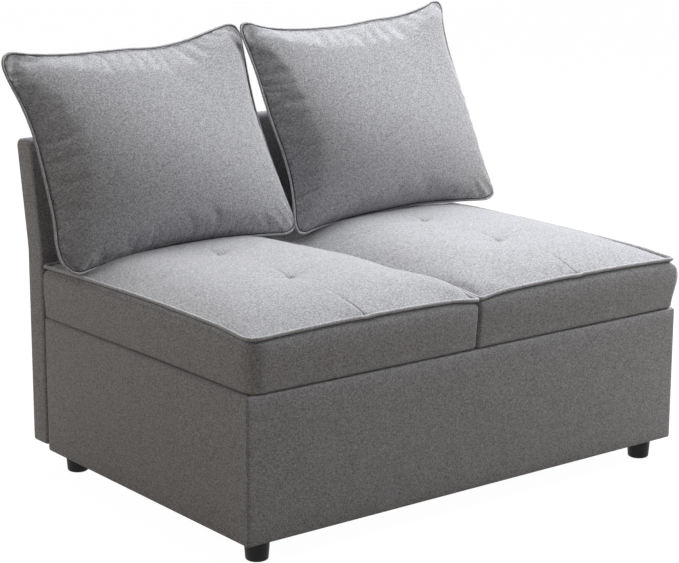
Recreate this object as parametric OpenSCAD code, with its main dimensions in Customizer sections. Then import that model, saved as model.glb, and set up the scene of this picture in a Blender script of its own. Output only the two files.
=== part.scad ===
// Armless two-seat sofa. An upholstered storage box stands on four feet, two seats
// lift off its rim, a one-piece back panel is bolted on behind it, and two loose
// piped pillows stand on the seats and lean on the panel.
// Millimetres. The front faces -Y and +Z is up.

/* [Base box] */
// Width of the box over its fabric
base_w = 1200; // [1000:10:1400]
// Depth of the box over its fabric
base_d = 790; // [700:10:900]
// Height of the box, from its underside to the rim that the seats rest on
base_h = 310; // [240:5:400]
// Thickness of the four wall boards
wall_t = 15; // [12:1:22]
// Thickness of the floor board
floor_t = 9; // [6:1:18]
// Thickness of the board that divides the storage space
divider_t = 15; // [12:1:22]
// Thickness of the foam sheet on the outside of the walls
wall_pad_t = 4.4; // [3:0.2:8]
// Plan radius of the two soft rear corners
rear_corner_r = 14; // [4:1:16]
// Depth of the fabric flap that is turned down inside the rim
flap_h = 30; // [15:1:60]
// Side of the wooden block in each bottom corner
block_w = 60; // [54:1:90]
// Height of the wooden block in each bottom corner
block_h = 40; // [30:1:60]

/* [Fabric] */
// Thickness of the upholstery fabric with its backing
fabric_t = 1.6; // [1:0.1:2.4]
// Thickness of the linings and of the cloth on the undersides
lining_t = 0.8; // [0.5:0.1:0.9]
// Width of the fabric that is turned in under the base and the seats
hem_w = 20; // [10:1:22]
// Diameter of the piping over its fabric
piping_d = 6; // [4:0.5:8]
// Free space that soft faces keep from each other
soft_gap = 0.3; // [0.2:0.1:0.6]

/* [Feet] */
// Height of a foot below the box
foot_h = 48; // [30:1:90]
// Diameter of a foot where it meets the box
foot_top_d = 55; // [44:1:60]
// Diameter of a foot at the floor
foot_bottom_d = 48; // [36:1:56]
// Radius of the rounded lower edge of a foot
foot_edge_r = 5; // [2:0.5:8]
// Distance from the side of the box to the middle of a foot
foot_side = 55; // [52:1:68]
// Distance from the front of the box to the middle of a front foot
foot_front = 47; // [44:1:68]
// Distance from the rear of the box to the middle of a rear foot
foot_rear = 43; // [42:1:68]

/* [Back panel] */
// Height of the lower edge of the panel above the floor
back_bottom = 58; // [20:1:100]
// Height at which the panel starts to lean
back_bend = 512; // [480:1:560]
// Height of the front edge of the panel's top
back_top = 762; // [680:2:860]
// Angle of the upper part of the panel from upright
back_lean = 9; // [0:1:14]
// Free space between the box and the panel
back_gap = 2; // [1:0.5:6]
// Thickness of the foam on the front of the panel
back_pad_t = 14; // [10:1:25]
// Thickness of the foam on the rear of the panel
back_rear_pad_t = 5; // [3:1:12]
// Thickness of the thin boards on both faces of the frame
back_board_t = 3; // [2:0.5:6]
// Thickness of the wooden frame in the panel
back_frame_t = 30; // [22:1:45]
// Width of the frame's stiles, and height of its rails
back_stile_w = 45; // [38:1:70]
// Radius of the rounded top edges of the panel
back_edge_r = 14; // [8:1:20]

/* [Bolts] */
// Diameter of the bolts and of the threaded studs in the feet
bolt_d = 8; // [6:1:10]
// Free space round a bolt or stud in its hole, on the diameter
bolt_play = 0.6; // [0.4:0.1:1]
// Diameter of the washers under the bolt heads
washer_d = 24; // [20:1:30]
// Thickness of the washers
washer_t = 2; // [1:0.5:3]
// Distance from the side of the box to the outer bolts
bolt_side = 40; // [38:1:44]
// Distance from the middle of the box to the inner bolts
bolt_middle = 190; // [120:5:260]
// Height of the lower row of bolts above the underside of the box
bolt_low = 110; // [90:5:130]
// Height of the upper row of bolts above the underside of the box
bolt_high = 190; // [170:5:200]

/* [Seats] */
// Height of a seat from its underside to the piping at its corners
seat_edge_h = 117; // [95:1:150]
// How far the outer side of a seat stands in from the side of the box
seat_side = 8; // [4:1:20]
// How far the rear of a seat stands in from the rear of the box
seat_rear = 4; // [2:1:20]
// Free space between the two seats
seat_split = 1; // [0.6:0.2:4]
// How far the middle of the top rises above its edges
seat_crown = 36; // [10:1:50]
// How far the piping rises from a corner to the middle of a side
seat_arch = 6; // [0:1:12]
// How fast the top rises near its edges, higher is steeper
seat_round = 3.5; // [2:0.5:6]
// Plan radius of a seat's corners
seat_corner_r = 24; // [14:1:40]
// How far the outer side swells
seat_bulge = 9; // [0:1:14]
// How far the front swells
seat_front_bulge = 5; // [0:1:12]
// Depth of the sewn tufts
tuft_depth = 6; // [3:1:11]
// Length of the pleat that runs back from the middle of the front piping
pleat_l = 100; // [60:5:150]
// Thickness of the quilted top of a seat cover at its piping
quilt_t = 14; // [12:1:18]
// Thickness of the sides of a seat cover with their wadding
side_t = 5; // [3.5:0.5:7]
// Thickness of the board under each seat
seat_board_t = 12; // [9:1:18]
// Height of the battens that locate a seat in the box
batten_h = 20; // [12:1:28]
// Width of the battens
batten_w = 18; // [12:1:30]

/* [Pillows] */
// Width of a pillow over its piping, as if its corners were square
pillow_w = 652; // [560:2:700]
// Height of a pillow over its piping, as if its corners were square
pillow_h = 531; // [420:1:560]
// How far the front of a pillow swells from its seam
pillow_front = 96; // [50:2:120]
// How far the rear of a pillow swells from its seam
pillow_rear = 58; // [20:1:80]
// How far the middle of the sides and the top is drawn in
pillow_draw = 29; // [6:1:35]
// How far the middle of the bottom is drawn in
pillow_bottom_draw = 20; // [4:1:30]
// Radius of a pillow's corners
pillow_corner_r = 26; // [16:1:50]
// Turn of the pillows, right side back
pillow_turn = 2; // [0:0.5:4]
// Free space between the two pillows
pillow_split = 2; // [1:0.5:10]
// Distance from the panel to the lower edge of the left pillow
left_stand_off = 156; // [120:2:200]
// Distance from the panel to the lower edge of the right pillow
right_stand_off = 138; // [120:2:200]

/* [Hidden] */

$fn = 48;
grey_fabric = [0.46, 0.46, 0.47];
grey_piping = [0.40, 0.40, 0.41];
black_cloth = [0.12, 0.12, 0.13];
black_plastic = [0.06, 0.06, 0.065];
pine = [0.80, 0.66, 0.46];
ply = [0.72, 0.58, 0.40];
foam_colour = [0.90, 0.87, 0.74];
fibre_white = [0.94, 0.94, 0.93];
steel = [0.66, 0.67, 0.69];
twine = [0.85, 0.82, 0.72];

// How far a cut goes past a face, and the rounding of a soft corner that was square
over = 1;
corner_pull = 1 - cos(45);

// Levels and insets of the box
corner_reach = 3.4;
rim = foot_h + base_h;
skin = fabric_t + wall_pad_t;
wall_in = skin + wall_t;
floor_low = foot_h + fabric_t;
floor_top = floor_low + floor_t;
rim_low = rim - fabric_t;
flap_low = rim - flap_h;
corner_r = min(rear_corner_r, fabric_t + corner_reach * wall_pad_t);
stud_hole = bolt_d + bolt_play;

// Tee nuts, which take the studs and the bolts
nut_d = bolt_d + 3;
nut_flange_d = bolt_d + 14;
nut_flange_t = 1.6;
nut_l = 14;
head_d = 2 * bolt_d;
head_t = 0.6 * bolt_d;

// Seat levels and plan
seat_low = rim + soft_gap;
seat_w = base_w / 2 - seat_side - seat_split / 2;
seat_d = base_d - seat_rear;
seat_x = -(seat_split + seat_w) / 2;
seat_y = seat_d / 2;
board_low = seat_low + fabric_t;
board_top = board_low + seat_board_t;
topper_edge = 4;
foam_top = seat_low + seat_edge_h - quilt_t - topper_edge;
piping_r = piping_d / 2;
rebate = piping_d + soft_gap;
tuft_y = [seat_d / 3, 2 * seat_d / 3];
tuft_w = 33;
tuft_l = 20;
pleat_w = 6.3;
pleat_depth = 3;
rim_play = 3;
tie_d = 2.4;
button_d = 20;
button_t = 2;

// Panel layers, as distances from its front face
back_y = base_d + back_gap;
back_pad_at = fabric_t;
back_board_at = back_pad_at + back_pad_t;
back_frame_at = back_board_at + back_board_t;
back_rear_board_at = back_frame_at + back_frame_t;
back_rear_pad_at = back_rear_board_at + back_board_t;
back_rear_at = back_rear_pad_at + back_rear_pad_t;
back_t = back_rear_at + fabric_t;
back_lean_l = (back_top - back_bend) / cos(back_lean);
back_in_w = base_w - 2 * fabric_t;

// Bolts through the rear wall of the box into the panel's stiles
bolt_x = [bolt_side - base_w / 2, -bolt_middle, bolt_middle, base_w / 2 - bolt_side];
bolt_z = [foot_h + bolt_low, foot_h + bolt_high];
bolt_head_y = base_d - wall_in - lining_t - washer_t;

// Grids of the soft faces, counted in steps from side to side
seat_nx = 14;
seat_ny = 18;
pillow_n = 14;
bunch = 0.78;

// Pillow sizes at the piping's middle line, and at the cover's edge
cord_hw = (pillow_w - piping_d) / 2;
cord_hh = (pillow_h - piping_d) / 2;
cover_in = piping_r + soft_gap;
seam_gap = 0.4;
fill_in = cover_in + 9;
fill_thinner = 3;
rear_fullness = 0.4;
front_fullness = 0.55;

// Step i of n between 0 and 1, bunched where each of the periods begins and ends
function station(i, n, periods) =
    let (t = i / n)
    t - bunch * sin(360 * periods * t) / (2 * PI * periods);

function unit(v) = v / norm(v);

// Indices of the grid points round the edge of an nx by ny grid, front, right, rear, left
function edge_steps(nx, ny) = concat(
    [for (i = [0 : nx - 1]) [i, 0]],
    [for (j = [0 : ny - 1]) [nx, j]],
    [for (i = [nx : -1 : 1]) [i, ny]],
    [for (j = [ny : -1 : 1]) [0, j]]
);

// Indices of an nx by ny grid of points that are listed from a first one
function grid(nx, ny, first = 0) = [
    for (i = [0 : nx])
        [for (j = [0 : ny]) first + i * (ny + 1) + j]
];

// Two triangles for each square of a grid, which face up or down; the diagonals
// run towards the middle, so that each corner point has one
function grid_faces(g, up) =
    let (
        nx = len(g) - 1,
        ny = len(g[0]) - 1
    )
    [
        for (i = [0 : nx - 1])
            for (j = [0 : ny - 1])
                let (
                    a = g[i][j],
                    b = g[i + 1][j],
                    c = g[i + 1][j + 1],
                    d = g[i][j + 1],
                    turn = (2 * i + 1 - nx) * (2 * j + 1 - ny) < 0,
                    pair = turn ? [[a, d, b], [b, d, c]] : [[a, d, c], [a, c, b]]
                )
                for (f = pair)
                    up ? f : [f[0], f[2], f[1]]
    ];

// Triangles between an upper and a lower closed ring, given as lists of indices
function band_faces(upper, lower) = [
    for (k = [0 : len(upper) - 1])
        let (m = (k + 1) % len(upper))
        each [[upper[k], upper[m], lower[m]], [upper[k], lower[m], lower[k]]]
];

// A closed tube of six sides round a closed path
module cord_loop(path, r, up = [0, 0, 1]) {
    n = len(path);
    sides = 6;
    rings = [
        for (i = [0 : n - 1])
            let (
                along = unit(path[(i + 1) % n] - path[(i + n - 1) % n]),
                out = unit(cross(along, up)),
                top = cross(out, along)
            )
            for (k = [0 : sides - 1])
                path[i] + r * (cos(360 * k / sides) * out + sin(360 * k / sides) * top)
    ];
    faces = [
        for (i = [0 : n - 1])
            for (k = [0 : sides - 1])
                let (
                    a = i * sides + k,
                    b = i * sides + (k + 1) % sides,
                    c = ((i + 1) % n) * sides + (k + 1) % sides,
                    d = ((i + 1) % n) * sides + k
                )
                each [[a, b, c], [a, c, d]]
    ];
    polyhedron(rings, faces, convexity = 4);
}

// Seat shape, in the left seat's own plan: s and t run from -1 to 1 over its width and depth

// Plan point of s and t, with the outline moved in by an inset
function seat_plan(s, t, inset) =
    let (
        pull = corner_pull * max(seat_corner_r - inset, 1) * pow(abs(s * t), 30)
    )
    [
        seat_x + (seat_w / 2 - inset) * s - sign(s) * pull,
        seat_y + (seat_d / 2 - inset) * t - sign(t) * pull
    ];

function edge_z(s, t) = seat_low + seat_edge_h + seat_arch * (1 - s * s * t * t);

function crown_z(s, t) = edge_z(s, t)
    + seat_crown * (1 - pow(abs(s), seat_round)) * (1 - pow(abs(t), seat_round));

// Depth of the dimples at a point of the top
function tufts(x, y) =
    let (across = pow((x - seat_x) / tuft_w, 2))
    tuft_depth * (
        exp(-across - pow((y - tuft_y[0]) / tuft_l, 2))
        + exp(-across - pow((y - tuft_y[1]) / tuft_l, 2))
    );

// Depth of the pleat at a point of the top
function pleat(x, y) = y > pleat_l ? 0
    : pleat_depth * exp(-pow((x - seat_x) / pleat_w, 2)) * (1 - pow(y / pleat_l, 2));

function seat_s(i) = 2 * station(i, seat_nx, 2) - 1;
function seat_t(j) = 2 * station(j, seat_ny, 3) - 1;

// Height of the left or right seat under a point, for what stands on it
function seat_top(x, y) =
    let (
        s = (abs(x) + seat_x) / (seat_w / 2),
        t = (y - seat_y) / (seat_d / 2)
    )
    (abs(s) > 1.01 || abs(t) > 1.01) ? 0
        : max(crown_z(min(abs(s), 1), min(abs(t), 1)), edge_z(s, t) + piping_r);

// Points of the swelling side, at a height from 0 to 1
function side_ring(steps, h) = [
    for (q = steps)
        let (
            s = seat_s(q[0]),
            t = seat_t(q[1]),
            p = seat_plan(s, t, 0),
            swell = sin(180 * pow(h, 1.67)),
            left = q[0] == 0 ? seat_bulge * (1 - pow(t, 6)) : 0,
            front = q[1] == 0 ? seat_front_bulge * (1 - pow(s, 6)) : 0,
            high = edge_z(s, t) - piping_r - soft_gap
        )
        [p[0] - left * swell, p[1] - front * swell, seat_low + (high - seat_low) * h]
];

module seat_outer() {
    steps = edge_steps(seat_nx, seat_ny);
    n = len(steps);
    top = [
        for (i = [0 : seat_nx])
            for (j = [0 : seat_ny])
                let (
                    s = seat_s(i),
                    t = seat_t(j),
                    p = seat_plan(s, t, rebate)
                )
                [p[0], p[1], crown_z(s, t) + 1 - tufts(p[0], p[1]) - pleat(p[0], p[1])]
    ];
    ledge = [
        for (q = steps)
            let (
                s = seat_s(q[0]),
                t = seat_t(q[1]),
                p = seat_plan(s, t, rebate)
            )
            [p[0], p[1], edge_z(s, t) - piping_r - soft_gap]
    ];
    heights = [1, 0.68, 0.36, 0];
    sides = [for (h = heights) each side_ring(steps, h)];
    first = len(top);
    rings = concat(
        [[for (q = steps) q[0] * (seat_ny + 1) + q[1]]],
        [for (k = [0 : len(heights)]) [for (m = [0 : n - 1]) first + k * n + m]]
    );
    low = rings[len(rings) - 1];
    middle = first + (len(heights) + 1) * n;
    polyhedron(
        concat(top, ledge, sides, [[seat_x, seat_y, seat_low]]),
        concat(
            grid_faces(grid(seat_nx, seat_ny), true),
            [for (k = [0 : len(rings) - 2]) each band_faces(rings[k], rings[k + 1])],
            [for (k = [0 : n - 1]) [middle, low[k], low[(k + 1) % n]]]
        ),
        convexity = 4
    );
}

// The crowned body under the quilted top, smaller by a gap, down to a level
module seat_dome(gap, low_z) {
    nx = seat_nx / 2;
    ny = seat_ny / 2;
    inset = rebate + side_t + 3 + gap;
    steps = edge_steps(nx, ny);
    n = len(steps);
    top = [
        for (i = [0 : nx])
            for (j = [0 : ny])
                let (
                    s = seat_s(2 * i),
                    t = seat_t(2 * j),
                    p = seat_plan(s, t, inset)
                )
                [p[0], p[1], crown_z(s, t) + 1 - quilt_t - gap]
    ];
    foot = [
        for (q = steps)
            let (p = seat_plan(seat_s(2 * q[0]), seat_t(2 * q[1]), inset))
            [p[0], p[1], low_z]
    ];
    upper = [for (q = steps) q[0] * (ny + 1) + q[1]];
    lower = [for (m = [0 : n - 1]) len(top) + m];
    middle = len(top) + n;
    polyhedron(
        concat(top, foot, [[seat_x, seat_y, low_z]]),
        concat(
            grid_faces(grid(nx, ny), true),
            band_faces(upper, lower),
            [for (k = [0 : n - 1]) [middle, lower[k], lower[(k + 1) % n]]]
        ),
        convexity = 4
    );
}

// A flat plate in a seat's plan, moved in by an inset
module seat_slab(inset, z1, z2) {
    r = max(seat_corner_r - inset, 2) + 3;
    w = seat_w - 2 * inset;
    d = seat_d - 2 * inset;
    translate([seat_x, seat_y, z1])
        linear_extrude(z2 - z1) {
            square([w - 2 * r, d], center = true);
            square([w, d - 2 * r], center = true);
            for (x = [-1, 1])
                for (y = [-1, 1])
                    translate([x * (w / 2 - r), y * (d / 2 - r)])
                        circle(r);
        }
}

module tie_holes(z1, z2) {
    for (y = tuft_y)
        translate([seat_x, y, z1])
            cylinder(d = tie_d + bolt_play, h = z2 - z1);
}

tie_top = crown_z(0, tuft_y[0] / seat_y - 1) + 1;

module seat_cover() {
    difference() {
        seat_outer();
        seat_slab(side_t, board_low, foam_top + soft_gap);
        seat_dome(0, foam_top);
        seat_slab(hem_w, seat_low - over, board_low + over);
        tie_holes(foam_top, tie_top + over);
    }
}

module seat_piping() {
    cord_loop([
        for (q = edge_steps(seat_nx, seat_ny))
            let (
                s = seat_s(q[0]),
                t = seat_t(q[1]),
                p = seat_plan(s, t, piping_r)
            )
            [p[0], p[1], edge_z(s, t)]
    ], piping_r);
}

module seat_topper() {
    difference() {
        seat_dome(soft_gap, foam_top + soft_gap);
        tie_holes(foam_top, tie_top + over);
    }
}

module seat_foam() {
    difference() {
        seat_slab(side_t + soft_gap, board_top, foam_top);
        tie_holes(board_top - over, foam_top + over);
    }
}

module seat_board() {
    difference() {
        seat_slab(side_t + soft_gap, board_low, board_top);
        tie_holes(board_low - over, board_top + over);
        for (y = tuft_y)
            translate([seat_x, y, board_low - over])
                cylinder(d = button_d + 2, h = button_t + over + soft_gap);
    }
}

// Two battens along the front and rear, inside the rim, and one along the outer side;
// they stand clear of the rim's flap and of the seat's own hem
module seat_battens() {
    edge = wall_in + fabric_t + rim_play;
    hem = hem_w + soft_gap;
    front = max(edge, hem);
    rear = base_d - max(edge, seat_rear + hem);
    outer = max(edge, seat_side + hem) - base_w / 2;
    inner = -divider_t / 2 - fabric_t - rim_play;
    top_z = board_low - lining_t;
    low_z = top_z - batten_h;
    for (y = [front, rear - batten_w])
        translate([outer + block_w, y, low_z])
            cube([inner - outer - 2 * block_w, batten_w, batten_h]);
    translate([outer, front + 2 * block_w, low_z])
        cube([batten_w, rear - front - 4 * block_w, batten_h]);
}

// Twine through the seat at each tuft, with a button under the board
module seat_ties() {
    bar = 10;
    for (k = [0, 1]) {
        y = tuft_y[k];
        bar_z = crown_z(0, y / seat_y - 1) + 1 - tuft_depth + 2 + tie_d / 2;
        translate([seat_x, y, board_low])
            cylinder(d = button_d, h = button_t);
        translate([seat_x, y, board_low])
            cylinder(d = tie_d, h = bar_z - board_low);
        translate([seat_x - bar / 2, y, bar_z])
            rotate([0, 90, 0])
                cylinder(d = tie_d, h = bar);
    }
}

module seat_underlining() {
    seat_slab(hem_w + soft_gap, board_low - lining_t, board_low);
}

// Pillow shape, in its own plane: [across, up from the lower edge, out to the front]

function pillow_point(s, t, swell, fullness, inset) =
    let (
        hw = cord_hw - inset,
        hh = cord_hh - inset,
        draw = t < 0 ? pillow_bottom_draw : pillow_draw,
        pull = corner_pull * pillow_corner_r * pow(abs(s * t), 12)
    )
    [
        s * (hw - pillow_draw * (1 - t * t)) - sign(s) * pull,
        cord_hh + t * (hh - draw * (1 - s * s)) - sign(t) * pull,
        swell * pow(max((1 - s * s) * (1 - t * t), 0), fullness)
    ];

function pillow_s(i) = 2 * station(i, pillow_n, 1) - 1;

pillow_seam = [
    for (q = edge_steps(pillow_n, pillow_n))
        pillow_point(pillow_s(q[0]), pillow_s(q[1]), 0, 1, 0)
];

// The filling, a closed body with a full front and a flatter rear
module pillow_fill() {
    n = pillow_n / 2;
    inset = fill_in + soft_gap;
    thinner = fill_thinner + soft_gap;
    front = [
        for (i = [0 : n])
            for (j = [0 : n])
                pillow_point(pillow_s(2 * i), pillow_s(2 * j),
                    pillow_front - thinner, front_fullness, inset)
    ];
    rear = [
        for (i = [1 : n - 1])
            for (j = [1 : n - 1])
                pillow_point(pillow_s(2 * i), pillow_s(2 * j),
                    thinner - pillow_rear, rear_fullness, inset)
    ];
    rear_grid = [
        for (i = [0 : n])
            [
                for (j = [0 : n])
                    (i == 0 || j == 0 || i == n || j == n)
                        ? i * (n + 1) + j
                        : len(front) + (i - 1) * (n - 1) + j - 1
            ]
    ];
    polyhedron(
        concat(front, rear),
        concat(grid_faces(grid(n, n), true), grid_faces(rear_grid, false)),
        convexity = 4
    );
}

// The front or the rear fabric of a cover, open at the seam; side is 1 or -1
module pillow_half(side) {
    n = pillow_n;
    m = n / 2;
    swell = side > 0 ? pillow_front : pillow_rear;
    fullness = side > 0 ? front_fullness : rear_fullness;
    function skin(i, j, inset, thinner) =
        pillow_point(side * pillow_s(i), pillow_s(j), side * (swell - thinner), fullness, inset)
        + [0, 0, side * seam_gap / 2];
    outer = [for (i = [0 : n]) for (j = [0 : n]) skin(i, j, cover_in, 0)];
    inner = [for (i = [0 : m]) for (j = [0 : m]) skin(2 * i, 2 * j, fill_in, fill_thinner)];
    outer_edge = [for (q = edge_steps(n, n)) q[0] * (n + 1) + q[1]];
    inner_edge = [for (q = edge_steps(m, m)) len(outer) + q[0] * (m + 1) + q[1]];
    polyhedron(
        concat(outer, inner),
        concat(
            grid_faces(grid(n, n), true),
            grid_faces(grid(m, m, len(outer)), false),
            [
                for (k = [0 : len(inner_edge) - 1])
                    let (
                        a = outer_edge[2 * k],
                        b = outer_edge[2 * k + 1],
                        c = outer_edge[(2 * k + 2) % len(outer_edge)],
                        d = inner_edge[k],
                        e = inner_edge[(k + 1) % len(inner_edge)]
                    )
                    each [[a, b, d], [b, e, d], [b, c, e]]
            ]
        ),
        convexity = 4
    );
}

// Placing the pillows. A pillow stands on its lower edge at a distance from the
// panel and leans back until its rear meets the rounded top edge of the panel.

function turned(p, lean) =
    let (
        y = p[1] * sin(lean) - p[2] * cos(lean),
        z = p[1] * cos(lean) + p[2] * sin(lean)
    )
    [
        p[0] * cos(pillow_turn) - y * sin(pillow_turn),
        p[0] * sin(pillow_turn) + y * cos(pillow_turn),
        z
    ];

panel_edge = back_point(back_edge_r, back_edge_r);

turn_reach = max([
    for (i = [pillow_n / 2 : pillow_n])
        let (s = pillow_s(i))
        cord_hw * s * sin(pillow_turn) - pillow_rear * (1 - pow(1 - s * s, rear_fullness))
]);

function lean_of(stand_off, z) =
    let (
        dy = panel_edge[0] - back_y + stand_off,
        dz = panel_edge[1] - z,
        reach = pillow_rear + turn_reach + soft_gap + back_edge_r
    )
    atan2(dy, dz) - asin(reach / norm([dy, dz]));

// Height at which a pillow just rests on the seats
function rest_z(x, stand_off) =
    let (lean = lean_of(stand_off, rim + seat_edge_h + seat_arch))
    max([
        for (i = [0 : pillow_n])
            for (j = [0 : pillow_n / 2])
                for (side = [-1, 1])
                    let (
                        s = pillow_s(i),
                        t = pillow_s(j),
                        swell = side < 0 ? -pillow_rear : pillow_front,
                        full = side < 0 ? rear_fullness : front_fullness,
                        p = turned(pillow_point(s, t, swell, full, 0), lean),
                        r = j == 0 ? piping_r : 0
                    )
                    seat_top(p[0] + x, p[1] + back_y - stand_off) + soft_gap + r - p[2]
    ]);

pillow_step = 2 * (max([for (p = pillow_seam) p[0]]) + piping_r) + pillow_split;
left_x = -pillow_step / 2;
right_x = pillow_step / 2;
left_z = rest_z(left_x, left_stand_off);
right_z = rest_z(right_x, right_stand_off);
left_lean = lean_of(left_stand_off, left_z);
right_lean = lean_of(right_stand_off, right_z);

module stand_pillow(x, z, stand_off, lean) {
    translate([x, back_y - stand_off, z])
        rotate([0, 0, pillow_turn])
            rotate([90 - lean, 0, 0])
                children();
}

module stand_left() {
    placed()
        stand_pillow(left_x, left_z, left_stand_off, left_lean)
            children();
}

module stand_right() {
    placed()
        stand_pillow(right_x, right_z, right_stand_off, right_lean)
            children();
}

// Front and rear fabric, which meet at the piping
module pillow_cover() {
    for (side = [1, -1])
        pillow_half(side);
}

module pillow_piping() {
    cord_loop(pillow_seam, piping_r);
}

// The frame. The origin is on the floor, midway between the sides of the box and
// midway between the foremost and the rearmost point of the whole sofa.

pillow_tops = [
    for (p = pillow_seam) turned(p, left_lean)[1] - left_stand_off,
    for (p = pillow_seam) turned(p, right_lean)[1] - right_stand_off
];
y_low = -seat_front_bulge;
y_high = max(
    back_y + max(pillow_tops) + piping_r,
    back_point(back_t - back_edge_r, back_edge_r)[0] + back_edge_r
);

module placed() {
    translate([0, -(y_low + y_high) / 2, 0])
        children();
}

// Base box

// Plan of the box moved in by an inset, with its two soft rear corners
module base_plan(inset) {
    r = max(corner_r - inset, 0.5);
    w = base_w - 2 * inset;
    translate([-w / 2, inset])
        square([w, base_d - 2 * inset - r]);
    translate([-w / 2 + r, inset])
        square([w - 2 * r, base_d - 2 * inset]);
    for (x = [-1, 1])
        translate([x * (w / 2 - r), base_d - inset - r])
            circle(r);
}

// A block over one storage space, moved in by an inset; side is -1 or 1
module storage_block(side, inset, z1, z2) {
    x1 = divider_t / 2 + inset;
    x2 = base_w / 2 - wall_in - inset;
    translate([side < 0 ? -x2 : x1, wall_in + inset, z1])
        cube([x2 - x1, base_d - 2 * (wall_in + inset), z2 - z1]);
}

// Holes for the bolts, between two depths
module bolt_holes(y1, y2, d = stud_hole) {
    for (x = bolt_x)
        for (z = bolt_z)
            translate([x, y1, z])
                rotate([-90, 0, 0])
                    cylinder(d = d, h = y2 - y1);
}

foot_xy = [
    for (x = [-1, 1])
        for (y = [foot_front, base_d - foot_rear])
            [x * (base_w / 2 - foot_side), y]
];

module foot_holes(z1, z2, d = stud_hole) {
    for (p = foot_xy)
        translate([p[0], p[1], z1])
            cylinder(d = d, h = z2 - z1);
}

module base_cover() {
    color(grey_fabric)
        placed()
            difference() {
                union() {
                    difference() {
                        translate([0, 0, foot_h])
                            linear_extrude(base_h)
                                base_plan(0);
                        translate([0, 0, floor_low])
                            linear_extrude(rim_low - floor_low)
                                base_plan(fabric_t);
                        translate([0, 0, foot_h - over])
                            linear_extrude(fabric_t + 2 * over)
                                base_plan(hem_w);
                    }
                    for (side = [-1, 1])
                        storage_block(side, 0, flap_low, rim);
                }
                for (side = [-1, 1])
                    storage_block(side, fabric_t, flap_low - over, rim + over);
                bolt_holes(base_d - skin, base_d + over);
                foot_holes(foot_h - over, floor_low, foot_top_d + 2 * soft_gap);
            }
}

// Foam sheets, one on each wall
module base_padding() {
    z = floor_low;
    h = rim_low - floor_low;
    d = base_d - 2 * skin;
    color(foam_colour)
        placed()
            difference() {
                union() {
                    translate([-base_w / 2 + fabric_t, fabric_t, z])
                        cube([base_w - 2 * fabric_t, wall_pad_t, h]);
                    intersection() {
                        translate([0, 0, z])
                            linear_extrude(h)
                                base_plan(fabric_t);
                        union() {
                            translate([-base_w / 2, base_d - skin, z])
                                cube([base_w, wall_pad_t, h]);
                            for (x = [-base_w / 2 + fabric_t, base_w / 2 - skin])
                                translate([x, skin, z])
                                    cube([wall_pad_t, d, h]);
                        }
                    }
                }
                bolt_holes(base_d - skin - over, base_d);
            }
}

module front_or_rear_wall(y) {
    translate([-base_w / 2 + skin, y, floor_top])
        cube([base_w - 2 * skin, wall_t, rim_low - floor_top]);
}

module side_wall(x) {
    translate([x, wall_in, floor_top])
        cube([wall_t, base_d - 2 * wall_in, rim_low - floor_top]);
}

module base_front_panel() {
    color(ply)
        placed()
            front_or_rear_wall(skin);
}

module base_rear_panel() {
    color(ply)
        placed()
            difference() {
                front_or_rear_wall(base_d - wall_in);
                bolt_holes(base_d - wall_in - over, base_d - skin + over);
            }
}

module base_left_panel() {
    color(ply)
        placed()
            side_wall(-base_w / 2 + skin);
}

module base_right_panel() {
    color(ply)
        placed()
            side_wall(base_w / 2 - wall_in);
}

module base_divider() {
    color(ply)
        placed()
            translate([-divider_t / 2, wall_in, floor_top])
                cube([divider_t, base_d - 2 * wall_in, rim_low - floor_top]);
}

module base_floor() {
    color(ply)
        placed()
            difference() {
                translate([-base_w / 2 + skin, skin, floor_low])
                    cube([base_w - 2 * skin, base_d - 2 * skin, floor_t]);
                foot_holes(floor_low - over, floor_top + over);
            }
}

// The four corner blocks, larger by a gap
module blocks(gap) {
    for (x = [-base_w / 2 + wall_in, base_w / 2 - wall_in - block_w])
        for (y = [wall_in, base_d - wall_in - block_w])
            translate([x - gap, y - gap, floor_top])
                cube([block_w + 2 * gap, block_w + 2 * gap, block_h + gap]);
}

module corner_blocks() {
    color(pine)
        placed()
            difference() {
                blocks(0);
                foot_holes(floor_top - over, floor_top + block_h + over);
                foot_holes(floor_top + block_h - nut_l, floor_top + block_h + over, nut_d + bolt_play);
            }
}

module underside_cloth() {
    color(black_cloth)
        placed()
            difference() {
                translate([0, 0, floor_low - lining_t])
                    linear_extrude(lining_t)
                        base_plan(hem_w + soft_gap);
                foot_holes(foot_h - over, floor_low + over, foot_top_d + 2);
            }
}

module storage_lining(side) {
    color(black_cloth)
        placed()
            difference() {
                storage_block(side, 0, floor_top, flap_low - soft_gap);
                storage_block(side, lining_t, floor_top + lining_t, flap_low + over);
                blocks(soft_gap);
                bolt_holes(base_d - wall_in - 2 * lining_t, base_d - wall_in + over);
            }
}

module left_storage_lining() {
    storage_lining(-1);
}

module right_storage_lining() {
    storage_lining(1);
}

// Feet

stud_low = foot_h * 0.4;
stud_top = floor_top + block_h;

module foot_tee_nuts() {
    color(steel)
        placed()
            difference() {
                union() {
                    foot_holes(stud_top, stud_top + nut_flange_t, nut_flange_d);
                    foot_holes(stud_top - nut_l + over, stud_top + nut_flange_t, nut_d);
                }
                foot_holes(stud_top - nut_l, stud_top + 2 * nut_flange_t, bolt_d + 0.2);
            }
}

module foot_studs() {
    color(steel)
        placed()
            foot_holes(stud_low, stud_top, bolt_d);
}

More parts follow.
